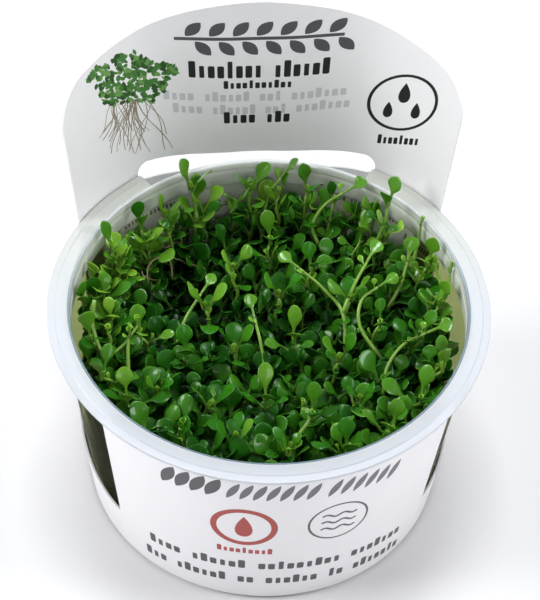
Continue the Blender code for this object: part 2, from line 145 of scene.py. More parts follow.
# Heads of the taller shoots: x, y, height and the turn of the top leaves, in degrees from +X
TALL_SHOOTS = (
    (-36.5, 22.5, 54.0, 120),
    (-29.5, 31.5, 52.0, 100),
    (-23.5, 36.0, 51.0, 60),
    (-16.5, 40.0, 56.0, 30),
    (-1.5, 42.0, 53.0, 150),
    (5.5, 41.5, 52.0, 40),
    (12.5, 40.5, 53.5, 70),
    (19.0, 38.0, 52.0, 160),
    (31.0, 28.5, 60.0, 50),
    (25.5, 30.5, 47.0, 60),
    (40.0, 15.5, 52.0, 70),
    (42.0, 4.5, 50.0, 30),
    (-41.0, 10.0, 49.0, 110),
    (-42.0, -2.0, 49.0, 100),
    (-30.5, 1.0, 46.5, 20),
    (-39.5, -11.5, 47.0, 60),
    (36.0, -4.5, 48.0, 45),
    (40.0, -14.0, 48.0, 80),
    (20.5, 9.0, 47.5, 165),
    (27.0, 1.0, 47.5, 40),
    (12.0, 19.0, 47.5, 120),
    (2.5, 28.5, 48.0, 80),
    (3.5, 11.5, 47.0, 10),
    (-7.0, 20.5, 47.5, 60),
    (-14.5, 8.5, 47.0, 25),
    (-20.0, -6.0, 46.0, 70),
    (-8.5, -4.5, 46.0, 150),
    (6.0, -2.0, 46.0, 80),
    (16.5, -8.0, 45.5, 20),
    (-34.0, -19.5, 46.5, 15),
    (-27.0, -16.0, 46.0, 130),
    (-22.5, -32.0, 46.5, 60),
    (-15.0, -21.5, 46.5, 165),
    (-10.0, -33.0, 47.0, 20),
    (-2.0, -20.5, 46.5, 100),
    (2.0, -36.0, 47.0, 150),
    (8.5, -25.0, 46.0, 40),
    (15.5, -36.5, 46.5, 75),
    (20.0, -20.5, 46.0, 170),
    (26.5, -30.5, 46.5, 110),
    (34.0, -22.5, 47.0, 30),
)


def smoothstep(value, low, high):
    part = min(max((value - low) / (high - low), 0.0), 1.0)
    return part * part * (3.0 - 2.0 * part)


def polar(radius, bearing, height):
    angle = radians(bearing)
    return (radius * sin(angle), -radius * cos(angle), height)


# Materials


def linear(code):
    """An sRGB hex colour as linear red, green, blue and alpha."""
    parts = [int(code[i:i + 2], 16) / 255.0 for i in (1, 3, 5)]
    return (*[p / 12.92 if p <= 0.04045 else ((p + 0.055) / 1.055) ** 2.4 for p in parts], 1.0)


def fill(tree, node, inputs):
    """Fill a node's inputs with values or links."""
    for name, value in inputs.items():
        if isinstance(value, bpy.types.NodeSocket):
            tree.links.new(value, node.inputs[name])
        else:
            node.inputs[name].default_value = value


def add(tree, kind, inputs, output=0, **settings):
    """Add a shader node with its settings and inputs, and give back one of its outputs."""
    made = tree.nodes.new("ShaderNode" + kind)
    for name, value in settings.items():
        setattr(made, name, value)
    fill(tree, made, inputs)
    return made.outputs[output]


def new_material(name):
    """A new material, its node tree, its Principled shader and the place on the object."""
    made = bpy.data.materials.new(name)
    made.use_nodes = True
    tree = made.node_tree
    return made, tree, tree.nodes["Principled BSDF"], add(tree, "TexCoord", {}, "Object")


def polypropylene(name, code, clearness, roughness, ior, gloss, front=None):
    """Thermoformed polypropylene: thin drawn walls are clear, and the thick rim is milky.

    A drawn wall hardly bends light, so its IOR is low and its shine lies in a thin coat.
    The colour is painted light and shade where a front colour is given: the clear lip turns a bluer slate
    towards the front, where it lies before dark leaves, and stays near-white at the back as a painted
    highlight, and the rim is painted greyer at the back, as the shade there.
    """
    made, tree, shader, place = new_material(name)
    stretch = add(tree, "Mapping", {"Vector": place, "Scale": (1.0, 1.0, 0.12)})
    drawn = add(tree, "TexNoise", {"Vector": stretch, "Scale": 1 / (9 * MM), "Detail": 2.0})
    colour = linear(code)
    # Painted light and shade: the colour shifts from the back colour to the front colour along the depth.
    if front:
        depth = add(tree, "SeparateXYZ", {"Vector": place}, "Y")
        part = add(tree, "MapRange", {"Value": depth, "From Min": 38 * MM, "From Max": -6 * MM})
        colour = add(tree, "Mix", {0: part, 6: colour, 7: linear(front)}, 2, data_type="RGBA")
    fill(tree, shader, {
        "Base Color": colour,
        "Transmission Weight": clearness,
        "IOR": ior,
        "Roughness": add(tree, "MapRange", {
            "Value": drawn, "To Min": roughness * 0.85, "To Max": roughness * 1.15,
        }),
        "Coat Weight": gloss,
        "Coat Roughness": 0.08,
        "Normal": add(tree, "Bump", {"Height": drawn, "Strength": 0.12, "Distance": 0.2 * MM}),
    })
    return made


def coated_card(name, code):
    """Coated white card: a smooth soft sheen over faint paper fibres. Inks lie in the coating."""
    made, tree, shader, place = new_material(name)
    fibres = add(tree, "TexNoise", {"Vector": place, "Scale": 1 / (0.6 * MM), "Detail": 5.0})
    clouds = add(tree, "TexNoise", {"Vector": place, "Scale": 1 / (14 * MM), "Detail": 2.0})
    shade = add(tree, "MapRange", {"Value": clouds, "To Min": 0.97, "To Max": 1.02})
    tint = {0: 1.0, 6: linear(code), 7: shade}
    fill(tree, shader, {
        "Base Color": add(tree, "Mix", tint, 2, data_type="RGBA", blend_type="MULTIPLY"),
        "Roughness": 0.42,
        "Coat Weight": 0.15,
        "Coat Roughness": 0.3,
        "Normal": add(tree, "Bump", {"Height": fibres, "Strength": 0.12, "Distance": 0.05 * MM}),
    })
    return made


def living_leaf(name, dark, middle, light, gloss):
    """Fresh leaf: smooth and moist, so it is glossy, and thin, so light glows through it."""
    made, tree, shader, place = new_material(name)
    tone, along, across = [
        add(tree, "Attribute", {}, "Fac", attribute_name=title) for title in ("tone", "along", "across")
    ]
    cells = add(tree, "TexNoise", {"Vector": place, "Scale": 1 / (0.9 * MM), "Detail": 4.0})
    # The tone attribute carries painted light and shade; the coat follows it, so leaves painted dark get no
    # shine.
    low, high, at_stalk, rib, mottle, coat_by_tone = [add(tree, "MapRange", values) for values in (
        {"Value": tone, "From Max": 0.5},
        {"Value": tone, "From Min": 0.5},
        {"Value": along, "From Min": 0.5, "From Max": 0.05, "To Max": 0.7},
        {"Value": across, "From Min": 0.12, "From Max": 0.0, "To Max": 0.14},
        {"Value": cells, "To Min": 0.78, "To Max": 1.18},
        {"Value": tone, "From Min": 0.25, "From Max": 0.7, "To Max": 0.45},
    )]
    colour = linear(dark)
    for part, code in ((low, middle), (high, light), (at_stalk, "#86a852"), (rib, "#7fae48")):
        colour = add(tree, "Mix", {0: part, 6: colour, 7: linear(code)}, 2, data_type="RGBA")
    tint = {0: 1.0, 6: colour, 7: mottle}
    relief = add(tree, "Math", {0: rib, 1: cells}, operation="SUBTRACT")
    fill(tree, shader, {
        "Base Color": add(tree, "Mix", tint, 2, data_type="RGBA", blend_type="MULTIPLY"),
        "Roughness": gloss,
        "IOR": 1.4,
        "Specular IOR Level": 0.42,
        "Specular Tint": linear("#d4ecd6"),
        "Coat Weight": coat_by_tone,
        "Coat Roughness": 0.1,
        "Subsurface Weight": 0.25,
        "Subsurface Radius": (0.5, 1.0, 0.2),
        "Subsurface Scale": 0.6 * MM,
        "Normal": add(tree, "Bump", {"Height": relief, "Strength": 0.16, "Distance": 0.15 * MM}),
    })
    return made


def withered_leaf_in_painted_shade():
    """Withered leaf: dull, dark and brown, with hardly any shine; its near-black is partly its own colour,
    partly painted shade.
    """
    made, tree, shader, place = new_material("withered_leaf_in_painted_shade")
    blotch = add(tree, "TexNoise", {"Vector": place, "Scale": 1 / (3 * MM), "Detail": 3.0})
    # Near-black brown and green: partly the leaves' own colour, partly painted shade.
    tint = {0: blotch, 6: linear("#1c0d06"), 7: linear("#0f1a05")}
    fill(tree, shader, {
        "Base Color": add(tree, "Mix", tint, 2, data_type="RGBA"),
        "Roughness": 0.85,
        "Specular IOR Level": 0.2,
    })
    return made


def pale_root():
    """Root thread: thin, pale and damp, browned in places by age."""
    made, tree, shader, place = new_material("pale_root_thread")
    age = add(tree, "TexNoise", {"Vector": place, "Scale": 1 / (6 * MM), "Detail": 3.0})
    part = add(tree, "MapRange", {"Value": age, "From Min": 0.35, "From Max": 0.65})
    tint = {0: part, 6: linear("#a09270"), 7: linear("#5f5036")}
    fill(tree, shader, {"Base Color": add(tree, "Mix", tint, 2, data_type="RGBA"), "Roughness": 0.45})
    return made


def set_agar():
    """Agar jelly, poured and set: clear, wet and faintly straw-coloured, a little cloudy."""
    made, tree, shader, place = new_material("poured_agar_jelly")
    cloud = add(tree, "TexNoise", {"Vector": place, "Scale": 1 / (9 * MM), "Detail": 3.0})
    tint = {0: cloud, 6: linear("#e6e4c8"), 7: linear("#cfd0a6")}
    fill(tree, shader, {
        "Base Color": add(tree, "Mix", tint, 2, data_type="RGBA"),
        "Transmission Weight": 0.85,
        "IOR": 1.34,
        "Roughness": 0.18,
        "Normal": add(tree, "Bump", {"Height": cloud, "Strength": 0.3, "Distance": 0.4 * MM}),
    })
    return made


# Meshes


def add_piece(name, points, faces, finishes, which=None, values=None, sharp=None):
    """Make a piece from points in millimetres, its faces and their materials.

    It is smooth, and its edges are kept sharp where they turn more than a given angle.
    """
    mesh = bpy.data.meshes.new(name)
    mesh.from_pydata(np.asarray(points) * MM, [], faces)
    for finish in finishes:
        mesh.materials.append(finish)
    if which is not None:
        mesh.polygons.foreach_set("material_index", np.asarray(which, dtype=np.int32))
    for title, numbers in (values or {}).items():
        layer = mesh.attributes.new(title, "FLOAT", "POINT")
        layer.data.foreach_set("value", np.asarray(numbers, dtype=np.float32))
    mesh.shade_smooth()
    mesh.validate()
    if sharp:
        mesh.set_sharp_from_angle(angle=radians(sharp))
    made = bpy.data.objects.new(name, mesh)
    bpy.context.scene.collection.objects.link(made)
    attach(made, "root")
    return made


def rounded(corners, steps=4):
    """Round the corners of an open profile of (radius, height, rounding)."""
    made = [corners[0][:2]]
    for before, corner, after in zip(corners, corners[1:], corners[2:]):
        spot = Vector(corner[:2])
        size = corner[2]
        if size == 0.0:
            made.append(tuple(spot))
            continue
        start = spot + (Vector(before[:2]) - spot).normalized() * size
        end = spot + (Vector(after[:2]) - spot).normalized() * size
        for step in range(steps + 1):
            t = step / steps
            made.append(tuple(start * (1 - t) ** 2 + spot * 2 * t * (1 - t) + end * t ** 2))
    made.append(corners[-1][:2])
    return made


def turned(profile, segments):
    """Turn a profile that starts and ends on the axis. Returns points and faces."""
    points = [(0.0, 0.0, profile[0][1])]
    for radius, height in profile[1:-1]:
        points += [polar(radius, 360.0 * s / segments, height) for s in range(segments)]
    points.append((0.0, 0.0, profile[-1][1]))
    last = len(points) - 1
    faces = []
    rings = len(profile) - 2
    for s in range(segments):
        n = (s + 1) % segments
        faces.append((0, 1 + n, 1 + s))
        for ring in range(rings - 1):
            low = 1 + ring * segments
            high = low + segments
            faces.append((low + s, low + n, high + n, high + s))
        top = 1 + (rings - 1) * segments
        faces.append((last, top + s, top + n))
    return points, faces


def outer_wall(height):
    return FOOT_RADIUS + WALL_FLARE * (height - FOOT_ROUNDING)


def inner_wall(height):
    if height > COLLAR_BOTTOM - WALL:
        return COLLAR_RADIUS
    return outer_wall(height) - WALL


def make_cup(finishes):
    """The thermoformed cup: stepped foot, drawn wall, snap collar and flat flange.

    Its finishes are the clear wall in the windows, the drawn wall before the card, the
    collar, the thin lip round the mouth, the thick rim and the rim's thin back in the slot.
    """
    rings = [FOOT_ROUNDING + 4.0 + WALL_RING * r for r in range(int((SHOULDER - 8.0) / WALL_RING))]
    top = CUP_HEIGHT
    under = top - FLANGE_THICKNESS
    groove = COLLAR_RADIUS + COLLAR_WALL
    points, faces = turned(rounded([
        (0.0, HOLLOW_DEPTH, 0.0),
        (HOLLOW_RADIUS, HOLLOW_DEPTH, 0.4),
        (HOLLOW_RADIUS + 1.0, 0.0, 0.4),
        (FOOT_RADIUS - 0.2, 0.0, 1.2),
        (FOOT_RADIUS, FOOT_ROUNDING, 0.3),
        *[(outer_wall(z), z, 0.0) for z in rings],
        (outer_wall(SHOULDER), SHOULDER, 0.4),
        (groove, SHOULDER + 1.2, 0.3),
        (groove, under - 0.2, 0.5),
        (FLANGE_RADIUS, under, FLANGE_EDGE),
        (FLANGE_RADIUS, top - FLANGE_EDGE, FLANGE_EDGE),
        (FLANGE_RADIUS - 1.7, top - FLANGE_EDGE, 0.12),
        (FLANGE_RADIUS - 2.0, top, 0.12),
        (COLLAR_RADIUS + LIP_WIDTH, top, 0.0),
        (COLLAR_RADIUS + 0.1, top, 0.6),
        (COLLAR_RADIUS, top - 1.9, 0.2),
        (COLLAR_RADIUS + SNAP_BEAD, top - 2.6, 0.2),
        (COLLAR_RADIUS, top - 3.3, 0.2),
        (COLLAR_RADIUS, SHOULDER + 0.6, 0.4),
        (outer_wall(SHOULDER) - WALL, SHOULDER - 0.8, 0.4),
        *[(outer_wall(z) - WALL, z, 0.0) for z in reversed(rings)],
        (FOOT_RADIUS - WALL, FOOT_ROUNDING + 0.8, 0.6),
        (FOOT_RADIUS - WALL - 1.0, FLOOR_TOP, 0.5),
        (0.0, FLOOR_TOP, 0.0),
    ]), CUP_SEGMENTS)
    spots = np.array(points)
    which = []
    for face in faces:
        x, y, z = spots[list(face)].T
        bearing = abs(degrees(atan2(x.sum(), -y.sum())))
        if min(z) > under - 0.6 and min(np.hypot(x, y)) > COLLAR_RADIUS + LIP_WIDTH - 0.1:
            which.append(RIM_IN_SLOT if bearing > 180.0 - SLOT_HALF_ANGLE else RIM)
        elif min(z) > top - 1.5:
            which.append(LIP)
        elif min(z) > SHOULDER - 1.0:
            which.append(COLLAR)
        else:
            window = min(window_bottom(bearing + aside) for aside in (-4, 0, 4))
            which.append(CLEAR_WALL if z.mean() > window - 4.0 else DRAWN_WALL)
    cup = add_piece("moulded_cup", points, faces, finishes, which, sharp=50)
    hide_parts("cup")


def hold_in(spot, limit):
    """Pull a point back to a distance from the cup's axis, if it is further out."""
    spot[:2] *= min(1.0, limit / hypot(spot[0], spot[1]))


def make_jelly(finish, root_finish):
    """Set jelly with a slightly raised edge, and the roots that run through it."""
    floor = FLOOR_TOP + GAP
    foot = FOOT_RADIUS - WALL - GAP
    edge = inner_wall(GEL_TOP) - GAP
    points, faces = turned(rounded([
        (0.0, floor, 0.0),
        (foot - 0.8, floor, 0.9),
        (foot - 0.05, FOOT_ROUNDING + 1.0, 0.4),
        (edge, GEL_TOP + GEL_EDGE_RISE, 0.15),
        (edge - 1.4, GEL_TOP, 0.8),
        (0.0, GEL_TOP, 0.0),
    ]), GEL_SEGMENTS)
    jelly = add_piece("set_jelly", points, faces, [finish], sharp=50)
    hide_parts("nutrient_gel")
    rng = random.Random(JELLY_SEED)
    roots = Growth()
    for _ in range(JELLY_ROOTS):
        radius = (foot - 3.0) * sqrt(rng.random())
        spot = np.array(polar(radius, rng.uniform(0, 360), GEL_TOP - 0.3))
        path = [spot]
        heading = rng.uniform(0, 360)
        for _ in range(9):
            heading += rng.uniform(-35, 35)
            spot = spot + polar(ROOT_STEP, heading, -rng.uniform(0.5, 1.6))
            hold_in(spot, foot - 2.0)
            spot[2] = max(spot[2], floor + 0.5)
            path.append(spot)
        roots.sweep(path, [0.2 - 0.012 * i for i in range(len(path))], 0.5, 5)
    piece = roots.finish("jelly_roots", root_finish)


class Growth:
    """Gathers leaves, stems and roots into one mesh, with what their colour needs."""

    def __init__(self):
        self.points = []
        self.faces = []
        self.count = 0
        self.values = {"tone": [], "along": [], "across": []}

    def loft(self, rings, tone, along, across):
        """Add a closed skin through rings of equal size."""
        stations, around, _ = rings.shape
        grid = self.count + np.arange(stations * around).reshape(stations, around)
        following = np.roll(grid, -1, axis=1)
        quads = np.stack([grid[:-1], following[:-1], following[1:], grid[1:]], axis=-1)
        self.faces += quads.reshape(-1, 4).tolist()
        self.faces.append(grid[0][::-1].tolist())
        self.faces.append(grid[-1].tolist())
        self.points.append(rings.reshape(-1, 3))
        self.count += stations * around
        self.values["tone"].append(np.full(stations * around, tone))
        self.values["along"].append(np.repeat(along, around))
        self.values["across"].append(np.tile(across, stations))

    def leaf(self, base, bearing, lean, length, width, tone, form, stations, around):
        """A spoon-shaped leaf: its stalk widens gradually into a rounded, curved blade.

        Its bearing is in radians from +X, and its lean is in degrees from upright.
        """
        t = 1.0 - (1.0 - np.linspace(0.0, 1.0, stations)) ** 1.35
        angle = np.radians(lean[0] + (lean[1] - lean[0]) * t)[:, None]
        turn = bearing + form["sway"] * t * t
        outward = np.stack([np.cos(turn), np.sin(turn), np.zeros(stations)], axis=1)
        level = np.stack([-np.sin(turn), np.cos(turn), np.zeros(stations)], axis=1)
        upward = np.array([0.0, 0.0, 1.0])
        run = outward * np.sin(angle) + upward * np.cos(angle)
        above = upward * np.sin(angle) - outward * np.cos(angle)
        steps = np.diff(t)[:, None] * (run[1:] + run[:-1]) / 2.0 * length
        spine = np.vstack([np.zeros(3), np.cumsum(steps, axis=0)]) + np.array(base)
        roll = (form["twist"] * t)[:, None]
        side = level * np.cos(roll) + above * np.sin(roll)
        above = above * np.cos(roll) - level * np.sin(roll)
        widen = np.clip((t - form["waist"]) / (BLADE_FULL_FROM - form["waist"]), 0.0, 1.0)
        widen = widen * widen * (3.0 - 2.0 * widen)
        tip = np.clip((t - TIP_FROM) / (1.0 - TIP_FROM), 0.0, 0.985)
        stalk = form["stalk"]
        half = width / 2.0 * (stalk + (1.0 - stalk) * widen) * np.sqrt(1.0 - tip ** 2)
        depth = (0.34 - 0.16 * widen) * np.sqrt(1.0 - 0.8 * tip ** 2) * (0.6 + 0.07 * width)
        round_turn = np.linspace(0.0, 2.0 * pi, around, endpoint=False)
        u = half[:, None] * np.cos(round_turn)
        v = depth[:, None] * np.sin(round_turn)
        v = v + widen[:, None] * (form["cup"] * u * u / (width / 2.0) + form["fold"] * np.abs(u))
        rings = spine[:, None, :] + u[..., None] * side[:, None, :] + v[..., None] * above[:, None, :]
        self.loft(rings, tone, t, np.abs(np.cos(round_turn)))

    def sweep(self, path, radii, tone, around, along=0.0):
        """A stem or root: a round skin swept along a path, with one radius or one at each point."""
        path = np.asarray([tuple(spot) for spot in path])
        run = np.gradient(path, axis=0)
        run /= np.linalg.norm(run, axis=1)[:, None]
        side = np.cross(run[0], (0.3, 0.9, 0.1))
        round_turn = np.linspace(0.0, 2.0 * pi, around, endpoint=False)
        rings = []
        for spot, direction, radius in zip(path, run, np.broadcast_to(radii, len(path))):
            side = side - direction * np.dot(side, direction)
            side = side / np.linalg.norm(side)
            above = np.cross(direction, side)
            ring = np.outer(np.cos(round_turn), side) + np.outer(np.sin(round_turn), above)
            rings.append(spot + ring * radius)
        self.loft(np.array(rings), tone, np.full(len(rings), along), np.ones(around))

    def finish(self, name, material):
        values = {title: np.concatenate(parts) for title, parts in self.values.items()}
        points = pressed_inwards(np.concatenate(self.points))
        return add_piece(name, points, self.faces, [material], values=values)


def pressed_inwards(points):
    """Press what touches the cup's wall or collar back by the little that it is past it."""
    heights = points[:, 2]
    reach = np.hypot(points[:, 0], points[:, 1])
    limit = np.where(heights > COLLAR_BOTTOM - WALL - 0.5, COLLAR_RADIUS, outer_wall(heights) - WALL) - 0.1
    below_rim = heights < CUP_HEIGHT
    past = max(0.0, float((reach - limit)[below_rim].max()))
    near = below_rim & (reach > limit - 1.0)
    pressed = limit - 1.0 + (reach - limit + 1.0) / (1.0 + past)
    share = np.where(near, pressed / np.maximum(reach, 1e-6), 1.0)
    return points * np.stack([share, share, np.ones(len(points))], axis=1)


# Card sleeve


def card_radius(bearing, height):
    """Radius of the card's inner face, round the wall and out past the flange."""
    plain = outer_wall(height) + GAP
    from_back = 180.0 - abs((bearing + 180.0) % 360.0 - 180.0)
    beside_slot = smoothstep(from_back, 6.0, SLOT_HALF_ANGLE - 2.5)
    past_flange = FLANGE_RADIUS + GAP - (outer_wall(CUP_HEIGHT - 2.0) + GAP)
    swing = beside_slot * past_flange * smoothstep(height, 32.0, CUP_HEIGHT - 3.0)
    spring = 1.2 * (1.0 - beside_slot) * smoothstep(height, CUP_HEIGHT + 1.0, PANEL_TOP)
    return plain + (swing + spring) * (1.0 - smoothstep(from_back, 62.0, 80.0))


def flat(bearing):
    """Distance along the flat card of a bearing."""
    return radians(bearing) * FLAT_RADIUS


def arc_points(centre, radius, first, last, steps):
    angles = [radians(first + (last - first) * s / steps) for s in range(steps + 1)]
    return [(centre[0] + radius * cos(a), centre[1] + radius * sin(a)) for a in angles]


def bezier_points(a, b, c, d, steps):
    points = []
    for s in range(steps + 1):
        t = s / steps
        u = 1.0 - t
        weights = (u ** 3, 3 * u * u * t, 3 * u * t * t, t ** 3)
        points.append(tuple(sum(w * p[i] for w, p in zip(weights, (a, b, c, d))) for i in (0, 1)))
    return points


def window_edge():
    """Lower edge of a side window, from its sharp tip back to the panel's side."""
    return bezier_points(
        (flat(WINDOW_FRONT), WINDOW_TIP_HEIGHT),
        (flat(82.0), WINDOW_TIP_HEIGHT - 1.5),
        (flat(PANEL_SIDE - 2.0), 26.0),
        (flat(PANEL_SIDE), CUP_HEIGHT - 1.0),
        36,
    )


def panel_edge():
    """Half of the panel's rounded top, from its side to the middle of the back."""
    middle = flat(180.0)
    half = middle - flat(PANEL_SIDE)
    crown_centre = (middle, PANEL_TOP - PANEL_CROWN)
    corner_x = flat(PANEL_SIDE) + PANEL_CORNER
    reach = PANEL_CROWN - PANEL_CORNER
    corner_z = crown_centre[1] + sqrt(reach ** 2 - (half - PANEL_CORNER) ** 2)
    lean = degrees(asin((half - PANEL_CORNER) / reach))
    corner = arc_points((corner_x, corner_z), PANEL_CORNER, 180.0, 90.0 + lean, 14)
    crown = arc_points(crown_centre, PANEL_CROWN, 90.0 + lean, 90.0, 24)
    return corner + crown[1:]


def slot_outline():
    """The rounded slot that the flange comes out through, bowed up at its ends."""
    ends = SLOT_HALF_ANGLE - degrees(SLOT_HALF_HEIGHT / FLAT_RADIUS)
    middle = flat(180.0)

    def rise(bearing):
        return SLOT_MIDDLE_HEIGHT + SLOT_END_RISE * (bearing / SLOT_HALF_ANGLE) ** 2

    steps = [ends * s / 20 for s in range(-20, 21)]
    right = arc_points((middle + flat(ends), rise(ends)), SLOT_HALF_HEIGHT, -90, 90, 14)
    left = arc_points((middle - flat(ends), rise(ends)), SLOT_HALF_HEIGHT, 90, 270, 14)
    bottom = [(middle + flat(b), rise(b) - SLOT_HALF_HEIGHT) for b in steps[1:-1]]
    top = [(middle + flat(b), rise(b) + SLOT_HALF_HEIGHT) for b in reversed(steps[1:-1])]
    return bottom + right + top + left


def window_bottom(bearing):
    """The window's lower edge at a bearing, read off between its points."""
    spot = flat(bearing)
    edge = window_edge()
    for (x0, z0), (x1, z1) in zip(edge, edge[1:]):
        if x0 <= spot <= x1:
            return z0 + (z1 - z0) * (spot - x0) / (x1 - x0)
    return CUP_HEIGHT


def sleeve_outline():
    """Outline of the opened-out card, from the seam round past the back to the seam."""
    start = flat(CARD_SEAM)
    whole_turn = flat(360.0)
    right_window = [p for p in window_edge() if p[0] > start + 0.4]
    left_window = [(whole_turn - x, z) for x, z in window_edge()]
    right_panel = panel_edge()
    left_panel = [(whole_turn - x, z) for x, z in reversed(right_panel[:-1])]
    front_steps = [WINDOW_FRONT * s / 30 for s in range(-30, 31)]
    front_top = [(whole_turn + flat(bearing), CARD_FRONT_TOP) for bearing in front_steps]
    last_window = [(whole_turn + x, z) for x, z in window_edge() if x < start - 0.4]
    upper = [(start, window_bottom(CARD_SEAM))] + right_window + right_panel + left_panel
    upper += list(reversed(left_window)) + front_top + last_window
    upper.append((start + whole_turn, window_bottom(CARD_SEAM)))
    columns = int(360.0 / CARD_COLUMN)
    lower = [(start + flat(CARD_COLUMN) * c, CARD_BOTTOM) for c in range(columns, -1, -1)]
    return upper + lower


# Print: plain marks in place of lettering and pictures, drawn on the flat card

FRONT_BOW = 0.0024  # how the printed lines curve on the cup's taper
FRONT_BOW_MIDDLE = -7.0
PANEL_BOW = 0.0075
DROP_EMBLEM = (-9.0, 34.5)
WAVE_EMBLEM = (14.5, 35.0)
PANEL_EMBLEM = (34.3, 72.6)
PRINTED_TUFT = (-29.5, 81.5)
WORD_SPACE = 1.1


def on_front(x, z):
    return (flat(360.0) + x, z - FRONT_BOW * (x - FRONT_BOW_MIDDLE) ** 2)


def on_panel(x, z):
    """The panel's face towards the plants, with x to the right as it is read."""
    return (flat(180.0) - x, z + PANEL_BOW * x * x)


def on_inside(x, z):
    """The card's inner face behind the clear wall, with x to the right as it is read."""
    return (flat(180.0) - x, z)


def plate(x, z, width, height, corner):
    """A rounded rectangle, its long sides broken up so that it can follow the bow."""
    half_w = width / 2.0 - corner
    half_h = height / 2.0 - corner
    shape = []
    for sx, sz, first in ((1, 1, 0), (-1, 1, 90), (-1, -1, 180), (1, -1, 270)):
        shape += arc_points((x + sx * half_w, z + sz * half_h), corner, first, first + 90, 2)
        runs = max(int(2 * half_w / 2.5), 1) if first in (0, 180) else 1
        for step in range(1, runs):
            edge = half_w * sx * (1.0 - 2.0 * step / runs)
            shape.append((x + edge, z + sz * height / 2.0))
    return shape


def disc(x, z, radius):
    return arc_points((x, z), radius, 0, 360, 40)[:-1]


def band(line, width):
    """A line of points widened to a strip."""
    left = []
    right = []
    for before, spot, after in zip([line[0]] + line[:-1], line, line[1:] + [line[-1]]):
        run = Vector((after[0] - before[0], after[1] - before[1])).normalized() * width / 2.0
        left.append((spot[0] - run.y, spot[1] + run.x))
        right.append((spot[0] + run.y, spot[1] - run.x))
    return left + right[::-1]


def oval_leaf(x, z, length, width, angle, steps=9):
    """A leaf with two pointed ends."""
    turn = radians(angle)
    shape = []
    for sign in (1, -1):
        for step in range(steps):
            part = step / steps if sign == 1 else 1.0 - step / steps
            a = length * (part - 0.5)
            b = sign * width / 2.0 * sin(pi * part) ** 0.8
            shape.append((x + a * cos(turn) - b * sin(turn), z + a * sin(turn) + b * cos(turn)))
    return shape


def word_marks(left, right, z, height, words):
    """A line of words, each a row of small upright blocks, from left to right."""
    pitch = (right - left) / (sum(words) + WORD_SPACE * (len(words) - 1))
    shapes = []
    start = left
    for word, count in enumerate(words):
        for mark in range(count):
            tallness = height * (1.0 if (3 * word + 5 * mark) % 4 == 0 else 0.72)
            width = pitch * (0.52 if (word + mark) % 3 == 1 else 0.72)
            middle = z - height / 2.0 + tallness / 2.0
            shapes.append(plate(start + pitch * (mark + 0.5), middle, width, tallness, width * 0.22))
        start += pitch * (count + WORD_SPACE)
    return shapes


def drop(x, z, size, steps=26):
    """A water drop with its point upwards."""
    shape = []
    for step in range(steps):
        angle = 2.0 * pi * step / steps
        shape.append((x + size * 0.62 * sin(angle) * sin(angle / 2.0), z + size * cos(angle)))
    return shape


def wave(x, z, width, swing, thickness):
    """A line that swings up and down twice."""
    left = x - width / 2.0
    turns = [pi * s / 6 for s in range(25)]
    return band([(left + width * s / 24, z + swing * sin(turn)) for s, turn in enumerate(turns)], thickness)


